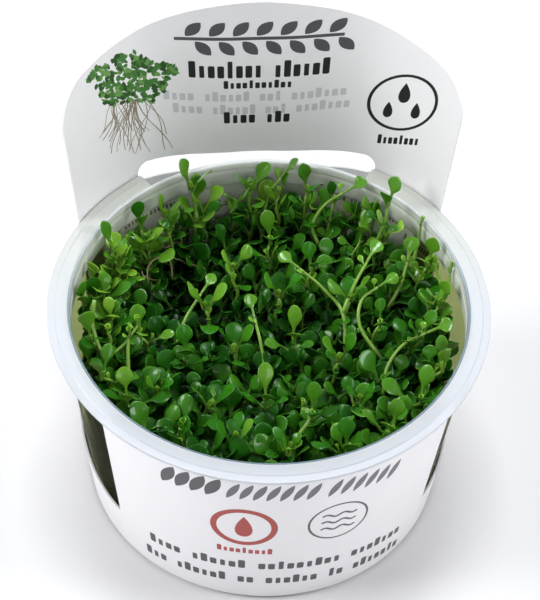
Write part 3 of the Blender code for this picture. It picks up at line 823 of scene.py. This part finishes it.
def printed_marks():
    """Every printed shape: its side of the card, its ink and its outline."""
    marks = []

    def draw(side, place, ink, *shapes):
        marks.extend((side, ink, [place(*point) for point in shape]) for shape in shapes)

    def front(ink, *shapes):
        draw("outer", on_front, ink, *shapes)

    def panel(ink, *shapes):
        draw("inner", on_panel, ink, *shapes)

    # Front: a row of slanted leaves, two round emblems and two lines of small words
    for step in range(4):
        front("dark", oval_leaf(-27.4 + 3.7 * step, 50.8, 8.6, 3.2, 66))
    for step in range(13):
        front("grey", oval_leaf(-11.6 + 3.1 * step + (2.0 if step > 6 else 0.0), 50.6, 7.6, 2.0, 66))
    front("red", disc(*DROP_EMBLEM, 8.3))
    front("card", disc(*DROP_EMBLEM, 6.7))
    front("red", drop(-9.0, 34.8, 4.6))
    front("red", *word_marks(-16.0, -1.5, 23.6, 2.6, (9,)))
    front("dark", disc(*WAVE_EMBLEM, 8.0))
    front("card", disc(*WAVE_EMBLEM, 7.4))
    for level in (38.0, 35.0, 32.0):
        front("dark", wave(14.5, level, 9.0, 0.55, 0.7))
    front("dark", *word_marks(-36.0, 37.5, 16.7, 3.8, (4, 6, 9, 7)))
    front("dark", *word_marks(-38.0, 38.5, 9.6, 3.8, (3, 6, 2, 6, 2, 7)))
    # Panel: a row of leaves on a line, words, a round emblem and a tuft with its roots
    panel("slate", band([(-18.5 + 37.5 * s / 30, 93.0) for s in range(31)], 0.9))
    for step in range(7):
        x = -15.5 + 5.3 * step
        panel("slate", oval_leaf(x + 1.2, 95.7, 5.2, 2.9, 48))
        panel("slate", oval_leaf(x + 3.3, 90.3, 5.2, 2.9, -48))
    for ink, left, right, z, height, words in (
        ("faint", -22.0, 21.0, 76.4, 2.8, (4, 6, 3, 7)),
        ("faint", -20.0, 22.0, 72.6, 2.8, (4, 6, 3, 7)),
        ("black", -16.0, 16.8, 84.2, 4.8, (8, 6)),
        ("black", -8.0, 8.4, 79.9, 2.3, (11,)),
        ("black", -8.2, 8.4, 70.2, 3.4, (4, 3)),
    ):
        panel(ink, *word_marks(left, right, z, height, words))
    panel("black", disc(*PANEL_EMBLEM, 8.6))
    panel("inside", disc(*PANEL_EMBLEM, 7.8))
    for x, z, size in ((34.3, 75.6, 3.0), (30.9, 70.4, 2.4), (37.7, 70.4, 2.4)):
        panel("black", drop(x, z, size))
    panel("black", *word_marks(29.3, 40.0, 61.2, 2.8, (8,)))
    rng = random.Random(PRINT_SEED)
    middle, crown = PRINTED_TUFT
    for _ in range(38):
        x = middle + rng.uniform(-5.0, 5.0)
        sway = rng.uniform(-7.0, 7.0)
        depth = rng.uniform(9.0, 17.0)
        parts = [step / 8 for step in range(9)]
        line = [(x + sway * part + 0.8 * sin(5.0 * part + x), crown - 6.0 - depth * part) for part in parts]
        panel("root", band(line, rng.uniform(0.14, 0.24)))
    for _ in range(300):
        angle = rng.uniform(0, 2 * pi)
        reach = sqrt(rng.random()) * (0.88 + 0.12 * sin(5.0 * angle))
        x = middle + 11.5 * reach * cos(angle)
        z = crown + 8.4 * reach * sin(angle)
        ink = rng.choice(("leaf_dark", "leaf_middle", "leaf_middle", "leaf_light"))
        panel(ink, oval_leaf(x, z, rng.uniform(1.3, 2.4), rng.uniform(0.8, 1.4), rng.uniform(20, 160), 4))
    # Inside the card, behind the clear wall: small lines for growing advice
    for left, right, z, words in (
        (135, 156, 46.8, (3, 5, 8)),
        (116, 132, 44.4, (2, 6, 4)),
        (196, 229, 49.2, (5, 7, 2, 8)),
        (201, 238, 46.2, (7, 3, 6, 9)),
    ):
        row = word_marks(-flat(right - 180), -flat(left - 180), z, 1.7, words)
        draw("inner", on_inside, "black", *row)
    # The panel's back, read from behind
    for z, words in ((76.4, (4, 6, 3, 7)), (72.4, (6, 3, 5, 6)), (68.4, (3, 7, 4))):
        draw("outer", on_panel, "dark", *word_marks(-21.0, 21.0, z, 2.8, words))
    return marks


INKS = {
    "card": ("coated_white_card", "#eae9ed"),
    "inside": ("white_card_inside", "#f6f5f8"),
    "dark": ("dark_grey_offset_ink", "#3c3c42"),
    "grey": ("mid_grey_offset_ink", "#5c5c64"),
    "slate": ("slate_offset_ink", "#505158"),
    "black": ("black_offset_ink", "#1b1b1e"),
    "faint": ("show_through_grey_ink", "#d0d1d6"),
    "red": ("brick_red_offset_ink", "#a3291d"),
    "root": ("root_brown_offset_ink", "#8d7f6c"),
    "leaf_dark": ("deep_green_offset_ink", "#27501f"),
    "leaf_middle": ("leaf_green_offset_ink", "#437a35"),
    "leaf_light": ("light_green_offset_ink", "#6d9c50"),
}


def inside(point, outline):
    """Whether a point of the flat card lies in an outline."""
    x, y = point
    within = False
    for (x0, y0), (x1, y1) in zip(outline, outline[1:] + outline[:1]):
        if (y0 > y) != (y1 > y) and x < x0 + (x1 - x0) * (y - y0) / (y1 - y0):
            within = not within
    return within


def counterclockwise(outline):
    """The outline's points in counterclockwise order, which the triangulation needs."""
    area = 0.0
    for (x0, y0), (x1, y1) in zip(outline, outline[1:] + outline[:1]):
        area += x0 * y1 - x1 * y0
    return outline if area > 0 else outline[::-1]


def make_sleeve():
    """The printed sleeve: one flat card cut out with its print, then wrapped round the cup."""
    marks = printed_marks()
    outlines = [sleeve_outline(), slot_outline()] + [shape for _, _, shape in marks]
    points = []
    loops = []
    for outline in map(counterclockwise, outlines):
        loops.append(list(range(len(points), len(points) + len(outline))))
        points += [Vector(point) for point in outline]
    edge = np.array(outlines[0] + outlines[1])
    column = flat(CARD_COLUMN)
    rows = int((PANEL_TOP - CARD_BOTTOM) / CARD_ROW)
    for c in range(1, int(360.0 / CARD_COLUMN)):
        for r in range(1, rows + 1):
            spot = (flat(CARD_SEAM) + column * c, CARD_BOTTOM + CARD_ROW * r)
            near = np.min(np.hypot(edge[:, 0] - spot[0], edge[:, 1] - spot[1]))
            if near > CLEAR_OF_EDGE and inside(spot, outlines[0]) and not inside(spot, outlines[1]):
                points.append(Vector(spot))
    spots, _, triangles, _, _, origins = delaunay_2d_cdt(points, [], loops, 1, MERGE)
    names = list(INKS)
    kept = []
    for triangle, sources in zip(triangles, origins):
        if 0 in sources and 1 not in sources:
            inks = {"outer": names.index("card"), "inner": names.index("inside")}
            for side, ink, _ in [marks[source - 2] for source in sorted(sources) if source > 1]:
                inks[side] = names.index(ink)
            kept.append((triangle, inks))
    seam = {}
    index = []
    vertices = []
    for x, z in spots:
        at_seam = min(abs(x - flat(CARD_SEAM)), abs(x - flat(CARD_SEAM + 360.0))) < 1e-3
        key = round(z, 3) if at_seam else None
        if at_seam and key in seam:
            index.append(seam[key])
            continue
        bearing = degrees(x / FLAT_RADIUS)
        radius = card_radius(bearing, z)
        index.append(len(vertices))
        vertices += [polar(radius, bearing, z), polar(radius + CARD, bearing, z)]
        if at_seam:
            seam[key] = index[-1]
    faces = []
    which = []
    rim = {}
    for triangle, inks in kept:
        corners = [index[i] for i in triangle]
        faces += [corners[::-1], [i + 1 for i in corners]]
        which += [inks["inner"], inks["outer"]]
        for a, b in zip(corners, corners[1:] + corners[:1]):
            if (b, a) in rim:
                del rim[(b, a)]
            else:
                rim[(a, b)] = True
    faces += [(a, b, b + 1, a + 1) for a, b in rim]
    which += [names.index("card")] * len(rim)
    finishes = [coated_card(*INKS[name]) for name in names]
    sleeve = add_piece("printed_sleeve", vertices, faces, finishes, which, sharp=40)
    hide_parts("card_sleeve")


# Plants


def hills(height, places, x, y):
    """Add soft round hills and hollows, each of (x, y, spread, rise), to a height."""
    for middle_x, middle_y, spread, rise in places:
        height += rise * exp(-((x - middle_x) ** 2 + (y - middle_y) ** 2) / spread)
    return height


def carpet_height(x, y):
    """Top of the close leaves: high all round the wall, with two dark hollows."""
    height = CARPET_HEIGHT + 3.0 * smoothstep(hypot(x, y), 20.0, 43.0)
    height = hills(height, CARPET_HOLLOWS, x, y)
    return height + 1.1 * sin(x * 0.42 + 0.7) * cos(y * 0.37 + 0.3)


def leaf_reach(base, bearing, angles, length, width):
    """A leaf's edge points at its blade and its tip."""
    spot = Vector(base)
    outward = Vector((cos(bearing), sin(bearing), 0.0))
    across = Vector((-sin(bearing), cos(bearing), 0.0))
    reach = []
    steps = 12
    for step in range(steps):
        part = (step + 0.5) / steps
        angle = radians(angles[0] + (angles[1] - angles[0]) * part)
        spot = spot + (outward * sin(angle) + Vector((0.0, 0.0, cos(angle)))) * length / steps
        half = width / 2.0 * smoothstep(part, 0.3, 0.7)
        reach += [spot + across * half, spot - across * half]
    return reach


def inside_cup(point):
    """Whether a point is clear of the cup's wall, collar and rim."""
    limit = inner_wall(point.z) - WALL_CLEARANCE
    if point.z > CUP_HEIGHT + WALL_CLEARANCE:
        limit = FLANGE_RADIUS - 3.5
    return hypot(point.x, point.y) < limit


def leaf_angles(base, bearing, angles, length, width):
    """Angles from upright at a leaf's two ends: beside the wall it grows more upright."""
    for spread in LEAF_SPREADS:
        tried = (angles[0] * spread, angles[1] * spread)
        if all(inside_cup(point) for point in leaf_reach(base, bearing, tried, length, width + 2 * GAP)):
            break
    return tried


def stem_point(foot, head, part):
    """The stem leaves the carpet upright and leans towards its head."""
    bend = foot + Vector((0.0, 0.0, 0.55 * (head.z - foot.z)))
    return foot * (1 - part) ** 2 + bend * 2 * part * (1 - part) + head * part ** 2


def shoot_leaves(foot, head, turn, scale):
    """Each leaf of a tall shoot: its base, bearing, angles and size."""
    pairs = 3 if head.z - foot.z > THREE_PAIRS_FROM else 2
    leaves = []
    for pair in range(pairs):
        top = pair == pairs - 1
        part = (pair + 1.0) / pairs
        size = scale * (1.0 if top else 0.92)
        angles = TOP_ANGLES if top else LOWER_ANGLES
        for side in (0, 2):
            bearing = turn + radians(90.0 * (side + (pairs - 1 - pair) % 2))
            outward = Vector((cos(bearing), sin(bearing), 0.0))
            base = stem_point(foot, head, part) + outward * STEM_WIDTH / 2.0
            bent = leaf_angles(base, bearing, angles, LEAF_LENGTH * size, BLADE_WIDTH * size)
            leaves.append((base, bearing, bent, size, top))
    return leaves


def fit_to_solid(node, x, y, height, bearing):
    """Find the turn and size that a shoot's solid was grown with, from its box."""
    low, high = [Vector(corner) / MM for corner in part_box(node)]
    head = Vector((x, y, height))
    foot = Vector((x * FOOT_PULL, y * FOOT_PULL, low.z))
    best = None
    for scale in SHOOT_SCALES:
        for attempt in range(TURN_TRIES):
            step = (attempt + 1) // 2 * (1 if attempt % 2 else -1)
            turn = radians(bearing + TRY_STEP * step)
            reach = []
            for base, way, bent, size, _ in shoot_leaves(foot, head, turn, scale):
                reach += leaf_reach(base, way, bent, LEAF_LENGTH * size, BLADE_WIDTH * size)
            lowest = Vector([min(p[i] for p in reach) for i in (0, 1)])
            highest = Vector([max(p[i] for p in reach) for i in (0, 1)])
            miss = (lowest - low.xy).length + (highest - high.xy).length
            if best is None or miss < best[0]:
                best = (miss, turn, scale)
    return foot, head, best[1], best[2]


def leaf_form(rng, folded=0.0):
    """How one leaf differs from the next: its taper, hollow, fold and bend."""
    return {
        "waist": rng.uniform(0.2, 0.48),
        "stalk": rng.uniform(0.14, 0.21),
        "cup": rng.uniform(-0.5, 0.4),
        "fold": folded + rng.uniform(0.0, 0.16),
        "sway": rng.uniform(-0.35, 0.35),
        "twist": rng.uniform(-0.4, 0.4),
    }


def sideways(rng, most):
    return Vector((rng.uniform(-most, most), rng.uniform(-most, most), 0.0))


def add_bud(growth, head, turn, rng, size=1.0):
    """The growing tip: two small pale leaves still folded together."""
    for side in (0, 180):
        way = turn + radians(90 + side)
        lean = (2.0, rng.uniform(14, 34))
        length = size * rng.uniform(2.2, 3.4)
        growth.leaf(head, way, lean, length, size * 1.7, 0.93, leaf_form(rng, 0.5), 8, 8)


def make_tall_shoots(finish):
    """The taller shoots, each grown where its solid stands and rooted down in the jelly."""
    for number, (x, y, height, bearing) in enumerate(TALL_SHOOTS, 1):
        node = f"shoot_{number:02d}"
        rng = random.Random(SHOOT_SEED + number)
        foot, head, turn, scale = fit_to_solid(node, x, y, height, bearing)
        growth = Growth()
        tone = rng.uniform(0.34, 0.66)
        root = Vector((foot.x * ROOT_PULL, foot.y * ROOT_PULL, GEL_TOP - 1.0))
        path = [root, root.lerp(foot, 0.35) + sideways(rng, 0.8), root.lerp(foot, 0.75)]
        swing = sideways(rng, 0.7)
        path += [stem_point(foot, head, s / 6) + swing * sin(pi * s / 3) for s in range(7)]
        radii = [0.46] * 3 + [0.44 - 0.015 * s for s in range(7)]
        growth.sweep(path, radii, 0.8, 8, 0.18)
        for base, way, bent, size, top in shoot_leaves(foot, head, turn, scale):
            share = rng.uniform(0.9, 1.0) if top else rng.choice((1.0, 0.9, 0.75, 0.6))
            narrow = rng.uniform(0.62, 0.95)
            droop = rng.uniform(0.5, 1.0) if top else rng.uniform(0.7, 1.25)
            growth.leaf(
                base, way + rng.uniform(-0.25, 0.25), (bent[0] * droop, bent[1] * droop),
                LEAF_LENGTH * size * share, BLADE_WIDTH * size * share * narrow,
                tone + rng.uniform(-0.15, 0.15) + (0.1 if top else -0.05), leaf_form(rng), 15, 14,
            )
            if not top and rng.random() < 0.6:
                growth.leaf(
                    np.array(base) + (0.0, 0.0, 0.6), way, (8.0, 34.0), rng.uniform(2.4, 4.2),
                    rng.uniform(1.2, 1.8), 0.85, leaf_form(rng, 0.3), 8, 8,
                )
        add_bud(growth, head, turn, rng)
        piece = growth.finish("tall_" + node, finish)
        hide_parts(node)


# Long pale stems that stand out one by one: how each ends, and its points from foot to head
PALE_STEMS = (
    ("bud", (-41.0, 5.0, 56.0), (-41.5, 1.1, 50.5), (-38.9, -4.8, 47.5), (-34.5, -3.8, 49.5),
     (-31.0, -0.9, 53.0)),
    ("bud", (-38.4, -4.8, 47.5), (-37.4, -3.3, 50.5), (-37.9, -2.9, 53.0)),
    ("bud", (-33.5, -9.2, 45.0), (-33.5, -5.3, 49.0), (-33.0, -2.4, 51.5)),
    ("leaf", (15.0, 31.0, 44.0), (13.5, 33.5, 49.0), (16.5, 35.5, 54.0), (21.0, 36.5, 57.0)),
    ("leaf", (19.0, 0.0, 40.0), (18.5, 6.0, 47.0), (14.0, 10.5, 51.0), (8.5, 14.5, 54.0)),
    ("leaf", (18.5, 6.0, 47.0), (21.5, 11.0, 51.0), (25.0, 16.0, 54.0)),
    ("bud", (42.0, 3.0, 44.0), (43.5, 8.0, 51.0), (45.0, 10.5, 56.0)),
    ("bud", (43.5, 8.0, 51.0), (42.0, 11.0, 53.0), (41.0, 13.0, 56.0)),
    ("leaf", (28.0, -4.0, 40.0), (22.5, 2.0, 46.0), (23.0, 7.0, 50.0), (27.0, 9.0, 52.5)),
    ("leaf", (26.5, -16.0, 40.0), (27.5, -10.5, 45.0), (31.5, -6.5, 49.0), (37.0, -5.5, 52.0)),
    ("leaf", (-1.0, -10.0, 38.0), (-1.5, -2.5, 44.0), (-3.0, 3.5, 49.0)),
    ("bud", (3.0, -34.5, 42.0), (4.5, -30.5, 46.0), (7.5, -27.5, 49.0), (6.0, -25.5, 51.0)),
    ("bud", (-21.0, -32.5, 42.0), (-21.5, -31.0, 46.0), (-21.5, -29.5, 50.0)),
    ("bud", (37.5, 21.0, 48.0), (38.5, 23.0, 53.0), (39.0, 24.0, 58.0)),
    ("leaf", (30.5, 10.5, 43.0), (33.5, 13.5, 48.0), (35.0, 16.5, 53.0)),
    ("bud", (-15.0, 37.0, 48.0), (-16.0, 40.0, 53.0), (-15.5, 41.5, 57.0)),
    ("leaf", (1.5, 38.5, 46.0), (3.0, 41.5, 52.0), (6.0, 43.0, 56.5)),
    ("leaf", (-23.0, -1.0, 38.0), (-20.0, 6.0, 45.0), (-15.5, 11.0, 50.0)),
)


def smooth_path(points, steps=5):
    """A smooth curve through given points."""
    spots = [np.array(point) for point in points]
    spots = [2 * spots[0] - spots[1]] + spots + [2 * spots[-1] - spots[-2]]
    path = []
    for a, b, c, d in zip(spots, spots[1:], spots[2:], spots[3:]):
        square = 2 * a - 5 * b + 4 * c - d
        cube = 3 * b - a - 3 * c + d
        for t in [step / steps for step in range(steps)]:
            path.append(0.5 * (2 * b + (c - a) * t + square * t ** 2 + cube * t ** 3))
    path.append(spots[-2])
    return path


def grow_pale_stems(rng):
    growth = Growth()
    for end, *points in PALE_STEMS:
        path = smooth_path(points)
        growth.sweep(path, [0.5 - 0.18 * s / len(path) for s in range(len(path))], 0.88, 7, 0.1)
        run = Vector(path[-1] - path[-4])
        way = atan2(run.y, run.x)
        lean = degrees(atan2(run.xy.length, run.z))
        if end == "leaf":
            length = rng.uniform(5.5, 7.5)
            growth.leaf(path[-1], way, (lean, lean + 8), length, length * 0.62, 0.66, leaf_form(rng), 13, 12)
            under = (lean * 0.5, lean * 0.5 + 30)
            growth.leaf(path[-2], way + 1.2, under, length * 0.5, length * 0.28, 0.85, leaf_form(rng), 9, 8)
        else:
            add_bud(growth, Vector(path[-1]), way, rng, 1.1)
            growth.leaf(path[-2], way + 2.2, (lean * 0.6, 50), 2.6, 1.4, 0.9, leaf_form(rng, 0.3), 8, 8)
    return growth


# The mass of small shoots, and what grows and lies between them
MASS_HALF = 45
SMALL_SHOOT_SPACING = 4.3
ROW_SPACING = SMALL_SHOOT_SPACING * 0.866  # rows as in a honeycomb
MASS_PIECES = 6
OLD_LEAVES = 420
WALL_SHOOTS = 22
CORNER_SHOOTS = 18
WALL_PAINTED_LIGHT = 0.12  # painted light: how much lighter the leaves along the wall are
STRAY_ROOTS = 60
CORNER_ROOTS = 18
ROOT_LOOP = (
    (-28.0, 21.9, 41.5),
    (-28.0, 24.4, 45.0),
    (-25.5, 25.9, 47.0),
    (-22.5, 24.9, 46.5),
    (-22.0, 22.4, 43.0),
)
LEAF_LEVELS = (  # from the top down: tone, painted darker further down as shade, stations along the leaf and points round it
    (0.62, 12, 10),
    (0.4, 11, 9),
    (0.18, 9, 7),
    (0.06, 7, 6),
    (0.02, 6, 5),
)
LIGHT_AND_SHADE = (  # places in the mass: x, y, spread and how much lighter its leaves are
    (-17.0, 18.0, 170.0, -0.34),
    (-9.0, 6.0, 130.0, -0.17),
    (8.0, 4.0, 120.0, -0.17),
    (22.0, 4.0, 80.0, -0.12),
    (-36.0, 24.0, 90.0, 0.36),
    (27.0, 25.0, 120.0, 0.2),
    (18.0, -27.0, 150.0, 0.26),
)


def grow_masses(rng):
    """The close shoots inside the wall, row by row, in pieces like slices of a cake."""
    growths = [Growth() for _ in range(MASS_PIECES)]
    for row in range(int(2 * MASS_HALF / ROW_SPACING) + 1):
        for column in range(int(2 * MASS_HALF / SMALL_SHOOT_SPACING) + 1):
            x = -MASS_HALF + SMALL_SHOOT_SPACING * (column + 0.5 * (row % 2)) + rng.uniform(-1.3, 1.3)
            y = -MASS_HALF + ROW_SPACING * row + rng.uniform(-1.3, 1.3)
            if hypot(x, y) > inner_wall(30.0) - 2.0:
                continue
            growth = growths[int(degrees(atan2(y, x)) % 360 / (360 / MASS_PIECES))]
            grow_small_shoot(growth, x, y, carpet_height(x, y) - rng.uniform(-2.0, 8.5), 0.0, rng)
    return growths


def grow_wall_shoots(rng):
    """Shoots that climb the wall at the back, closer together in its left corner, painted lighter by the
    wall's light.
    """
    growth = Growth()
    for step in range(WALL_SHOOTS):
        bearing = 92.0 + 176.0 * (step + rng.uniform(-0.4, 0.4)) / WALL_SHOOTS
        x, y, _ = polar(inner_wall(46.0) - rng.uniform(2.0, 7.0), bearing, 0.0)
        grow_small_shoot(growth, x, y, rng.uniform(43.0, 51.0), WALL_PAINTED_LIGHT, rng)
    for _ in range(CORNER_SHOOTS):
        x, y, _ = polar(inner_wall(46.0) - rng.uniform(3.5, 11.0), rng.uniform(220.0, 264.0), 0.0)
        top = rng.uniform(42.0, 49.5)
        if hypot(x - ROOT_LOOP[2][0], y - ROOT_LOOP[2][1] + 6.0) > 7.0:
            grow_small_shoot(growth, x, y, top, WALL_PAINTED_LIGHT, rng)
    return growth


def make_leaf_mass(finish, fresh, withered, root):
    """Hundreds of small shoots, close together, in place of the carpet's solid."""
    rng = random.Random(MASS_SEED)
    masses = grow_masses(rng)
    layers = [
        ("wall_shoots", grow_wall_shoots(rng), fresh, "leaf"),
        # Old leaves and a dark mat, coloured near-black partly as painted shade at the bottom.
        ("withered_leaves_and_painted_shade", grow_litter(rng), withered, "shaded_leaves"),
        ("stray_roots", grow_stray_roots(rng), root, "leaf"),
        ("pale_stems", grow_pale_stems(rng), fresh, "leaf"),
    ]
    layers += [(f"leaf_mass_{n}", mass, finish, "shaded_leaves") for n, mass in enumerate(masses, 1)]
    for name, growth, material, slot in layers:
        piece = growth.finish(name, material)
        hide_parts("leaf_carpet")


def grow_small_shoot(growth, x, y, top, wall_light, rng):
    """One shoot of the mass: pairs of leaves up a thin stem, painted darker further down as shade."""
    foot = Vector((x * 0.97 + rng.uniform(-2, 2), y * 0.97 + rng.uniform(-2, 2), GEL_TOP - 0.5))
    head = Vector((x, y, top))
    growth.sweep([foot.lerp(head, s / 4) for s in range(5)], (0.4, 0.4, 0.4, 0.36, 0.3), 0.4, 6, 0.2)
    turn = rng.uniform(0, pi)
    light = hills(0.0, LIGHT_AND_SHADE, x, y)
    vigour = 0.95 + 0.17 * smoothstep(-y, 5.0, 28.0) + min(light, 0.0) * 0.4 - max(light, 0.0) * 0.3
    height = top
    for shade, stations, around in LEAF_LEVELS:
        base = foot.lerp(head, (height - foot.z) / (head.z - foot.z))
        turn += radians(rng.uniform(65, 115))
        for side in (0, 1):
            way = turn + radians(180 * side) + rng.uniform(-0.3, 0.3)
            length = rng.uniform(6.2, 10.3) * vigour
            width = length * rng.uniform(0.43, 0.6)
            steep = rng.uniform(0.45, 1.0)
            angles = (16 * steep, 60 * steep) if height == top else (34 * steep, 90 * steep)
            bent = leaf_angles(base, way, angles, length, width)
            # Painted light and shade: darker for lower pairs, lighter along the wall, lighter or darker by
            # place in the mass.
            tone = shade + wall_light + light + rng.uniform(-0.2, 0.22)
            growth.leaf(base, way, bent, length, width, tone, leaf_form(rng), stations, around)
        height -= rng.uniform(3.2, 4.8)
    if rng.random() < 0.5:
        add_bud(growth, head, turn, rng, 0.8)


def grow_litter(rng):
    """Old dark leaves that lie over the jelly between the stems, matted at the bottom: partly real litter,
    partly painted shade that darkens the gaps and hides the jelly.
    """
    growth = Growth()
    # The mat: a dark sheet over the jelly, painted shade at the bottom of the mass.
    edge = inner_wall(GEL_TOP) - 1.0
    around = 60
    turn = np.linspace(0.0, 2.0 * pi, around, endpoint=False)
    rings = [np.stack([edge * np.cos(turn), edge * np.sin(turn), np.full(around, GEL_TOP + 0.1)], axis=1)]
    for ring in range(18):
        x = edge * (1.0 - ring / 18) * np.cos(turn)
        y = edge * (1.0 - ring / 18) * np.sin(turn)
        bumps = 0.5 * np.sin(x * 1.1 + 0.4) * np.cos(y * 1.3) + 0.4 * np.sin(x * 0.5 - y * 0.7)
        rings.append(np.stack([x, y, GEL_TOP + 1.6 + bumps], axis=1))
    growth.loft(np.array(rings), 0.0, np.zeros(len(rings)), np.ones(around))
    for _ in range(OLD_LEAVES):
        radius = 41.0 * sqrt(rng.random())
        base = Vector(polar(radius, rng.uniform(0, 360), GEL_TOP + rng.uniform(1.5, 9.0)))
        way = rng.uniform(0, 2 * pi)
        bent = leaf_angles(base, way, (70, 96), 7.0, 5.0)
        growth.leaf(base, way, bent, 7.0, 5.0, rng.uniform(0.0, 0.12), leaf_form(rng), 6, 6)
    return growth


def grow_stray_roots(rng):
    """Fine roots that wander over the wall and the dark hollow, above the leaves' feet."""
    growth = Growth()
    growth.sweep(smooth_path(ROOT_LOOP), 0.21, 0.5, 6)
    for _ in range(STRAY_ROOTS):
        bearing = rng.uniform(95.0, 265.0)
        height = rng.uniform(36.0, 47.0)
        path = []
        for _ in range(7):
            path.append(polar(inner_wall(height) - 0.7, bearing, height))
            bearing += rng.uniform(-1.5, 2.5) * rng.choice((-1, 1))
            height += rng.uniform(-1.6, 1.0)
        growth.sweep(smooth_path(path, 3), rng.uniform(0.16, 0.3), 0.5, 5)
    own = random.Random(CORNER_SEED)
    for _ in range(CORNER_ROOTS):
        bearing = own.uniform(202.0, 246.0)
        spot = np.array(polar(inner_wall(44.0) - own.uniform(2.0, 9.0), bearing, own.uniform(40.0, 44.0)))
        heading = own.uniform(0, 360)
        path = [spot]
        for step in range(5):
            heading += own.uniform(-10, 55)
            rise = own.uniform(-0.2, 0.9) if step < 2 else own.uniform(-1.4, 0.1)
            spot = spot + polar(1.5, heading, rise)
            hold_in(spot, inner_wall(40.0) - 1.2)
            path.append(spot)
        growth.sweep(smooth_path(path, 3), own.uniform(0.11, 0.17), 0.5, 5)
    return growth


# Studio


def make_floor():
    """A plain pale floor of painted board."""
    made, tree, shader, place = new_material("matt_white_painted_board")
    grain = add(tree, "TexNoise", {"Vector": place, "Scale": 1 / (3 * MM), "Detail": 3.0})
    bump = add(tree, "Bump", {"Height": grain, "Strength": 0.03, "Distance": 0.1 * MM})
    fill(tree, shader, {"Base Color": linear("#dcdcdd"), "Roughness": 0.8, "Normal": bump})
    mesh = bpy.data.meshes.new("floor")
    corners = [(x * FLOOR_HALF, y * FLOOR_HALF, 0) for x, y in ((-1, -1), (1, -1), (1, 1), (-1, 1))]
    mesh.from_pydata(corners, [], [(0, 1, 2, 3)])
    mesh.materials.append(made)
    floor = bpy.data.objects.new("floor", mesh)
    bpy.context.scene.collection.objects.link(floor)


def add_light(name, spot, size, power, colour):
    """A square soft light in metres, facing the plants."""
    data = bpy.data.lights.new(name, "AREA")
    data.size = size
    data.energy = power
    data.color = linear(colour)[:3]
    light = bpy.data.objects.new(name, data)
    light.location = spot
    towards = Vector((0.0, 0.0, 0.04)) - Vector(spot)
    light.rotation_mode = "QUATERNION"
    light.rotation_quaternion = towards.to_track_quat("-Z", "Y")
    bpy.context.scene.collection.objects.link(light)


def make_studio():
    make_floor()
    for name, spot, size, power, colour in (
        ("left_softbox", (-1.8, 0.0, 1.2), 1.0, 35.0, "#ffffff"),
        ("right_softbox", (1.8, -0.1, 1.2), 1.0, 25.0, "#ffffff"),
        ("top_softbox", (0.0, 0.3, 2.2), 0.7, 31.0, "#fbfcff"),
        ("front_softbox", (0.2, -2.2, 1.2), 1.0, 10.0, "#ffffff"),
    ):
        add_light(name, spot, size, power, colour)
    world = bpy.data.worlds.new("studio_air")
    world.use_nodes = True
    tree = world.node_tree
    fill(tree, tree.nodes["Background"], {"Color": linear("#f6f7f8"), "Strength": 0.23})
    bpy.context.scene.world = world


def make_camera():
    turn = radians(CAMERA_AZIMUTH)
    rise = radians(CAMERA_ELEVATION)
    roll = radians(CAMERA_ROLL)
    back = Vector((sin(turn) * cos(rise), -cos(turn) * cos(rise), sin(rise)))
    right = Vector((cos(turn), sin(turn), 0.0))
    above = back.cross(right)
    spot = right * CAMERA_ASIDE + above * CAMERA_ABOVE + back * CAMERA_DISTANCE
    axis_x = right * cos(roll) + above * sin(roll)
    axis_y = above * cos(roll) - right * sin(roll)
    data = bpy.data.cameras.new("photo_camera")
    data.sensor_width = 36.0
    data.lens = FOCAL_PIXELS / PHOTO_HEIGHT * data.sensor_width
    data.clip_start = 0.01
    data.clip_end = 20.0
    camera = bpy.data.objects.new("photo_camera", data)
    turned_axes = Matrix((axis_x, axis_y, back)).transposed().to_4x4()
    camera.matrix_world = Matrix.Translation(spot * MM) @ turned_axes
    bpy.context.scene.collection.objects.link(camera)
    bpy.context.scene.camera = camera
    bpy.context.scene.view_settings.view_transform = "Standard"


def main():
    make_camera()
    make_studio()
    make_cup([
        # The clear wall's olive tint is painted shade: it darkens the leaves seen through the windows.
        polypropylene("clear_thermoformed_polypropylene", "#8c965f", 0.97, 0.14, 1.005, 0.05),
        # The drawn wall's whitish share is painted light, standing for the lit card seen through it.
        polypropylene("drawn_polypropylene_wall", "#f4f8ea", 0.84, 0.1, 1.01, 0.2),
        polypropylene("hazy_polypropylene_collar", "#f0f3ec", 0.3, 0.22, 1.3, 0.3),
        # The lip's and rim's colours shift from back to front as painted light and shade.
        polypropylene("clear_polypropylene_lip", "#f2f5f6", 0.4, 0.25, 1.2, 0.4, "#8497a6"),
        polypropylene("milky_polypropylene_rim", "#d9dcd4", 0.45, 0.3, 1.25, 0.1, "#dfe3e9"),
        polypropylene("thin_clear_polypropylene_rim", "#fbfcfc", 0.92, 0.12, 1.01, 0.1),
    ])
    make_sleeve()
    root = pale_root()
    make_jelly(set_agar(), root)
    leaf = living_leaf("fresh_glossostigma_leaf", "#0b2c05", "#2c6f10", "#7cab30", 0.27)
    shaded = living_leaf("shaded_glossostigma_leaf", "#051a02", "#1b560b", "#4a8a1c", 0.34)
    make_tall_shoots(leaf)
    make_leaf_mass(shaded, leaf, withered_leaf_in_painted_shade(), root)


main()
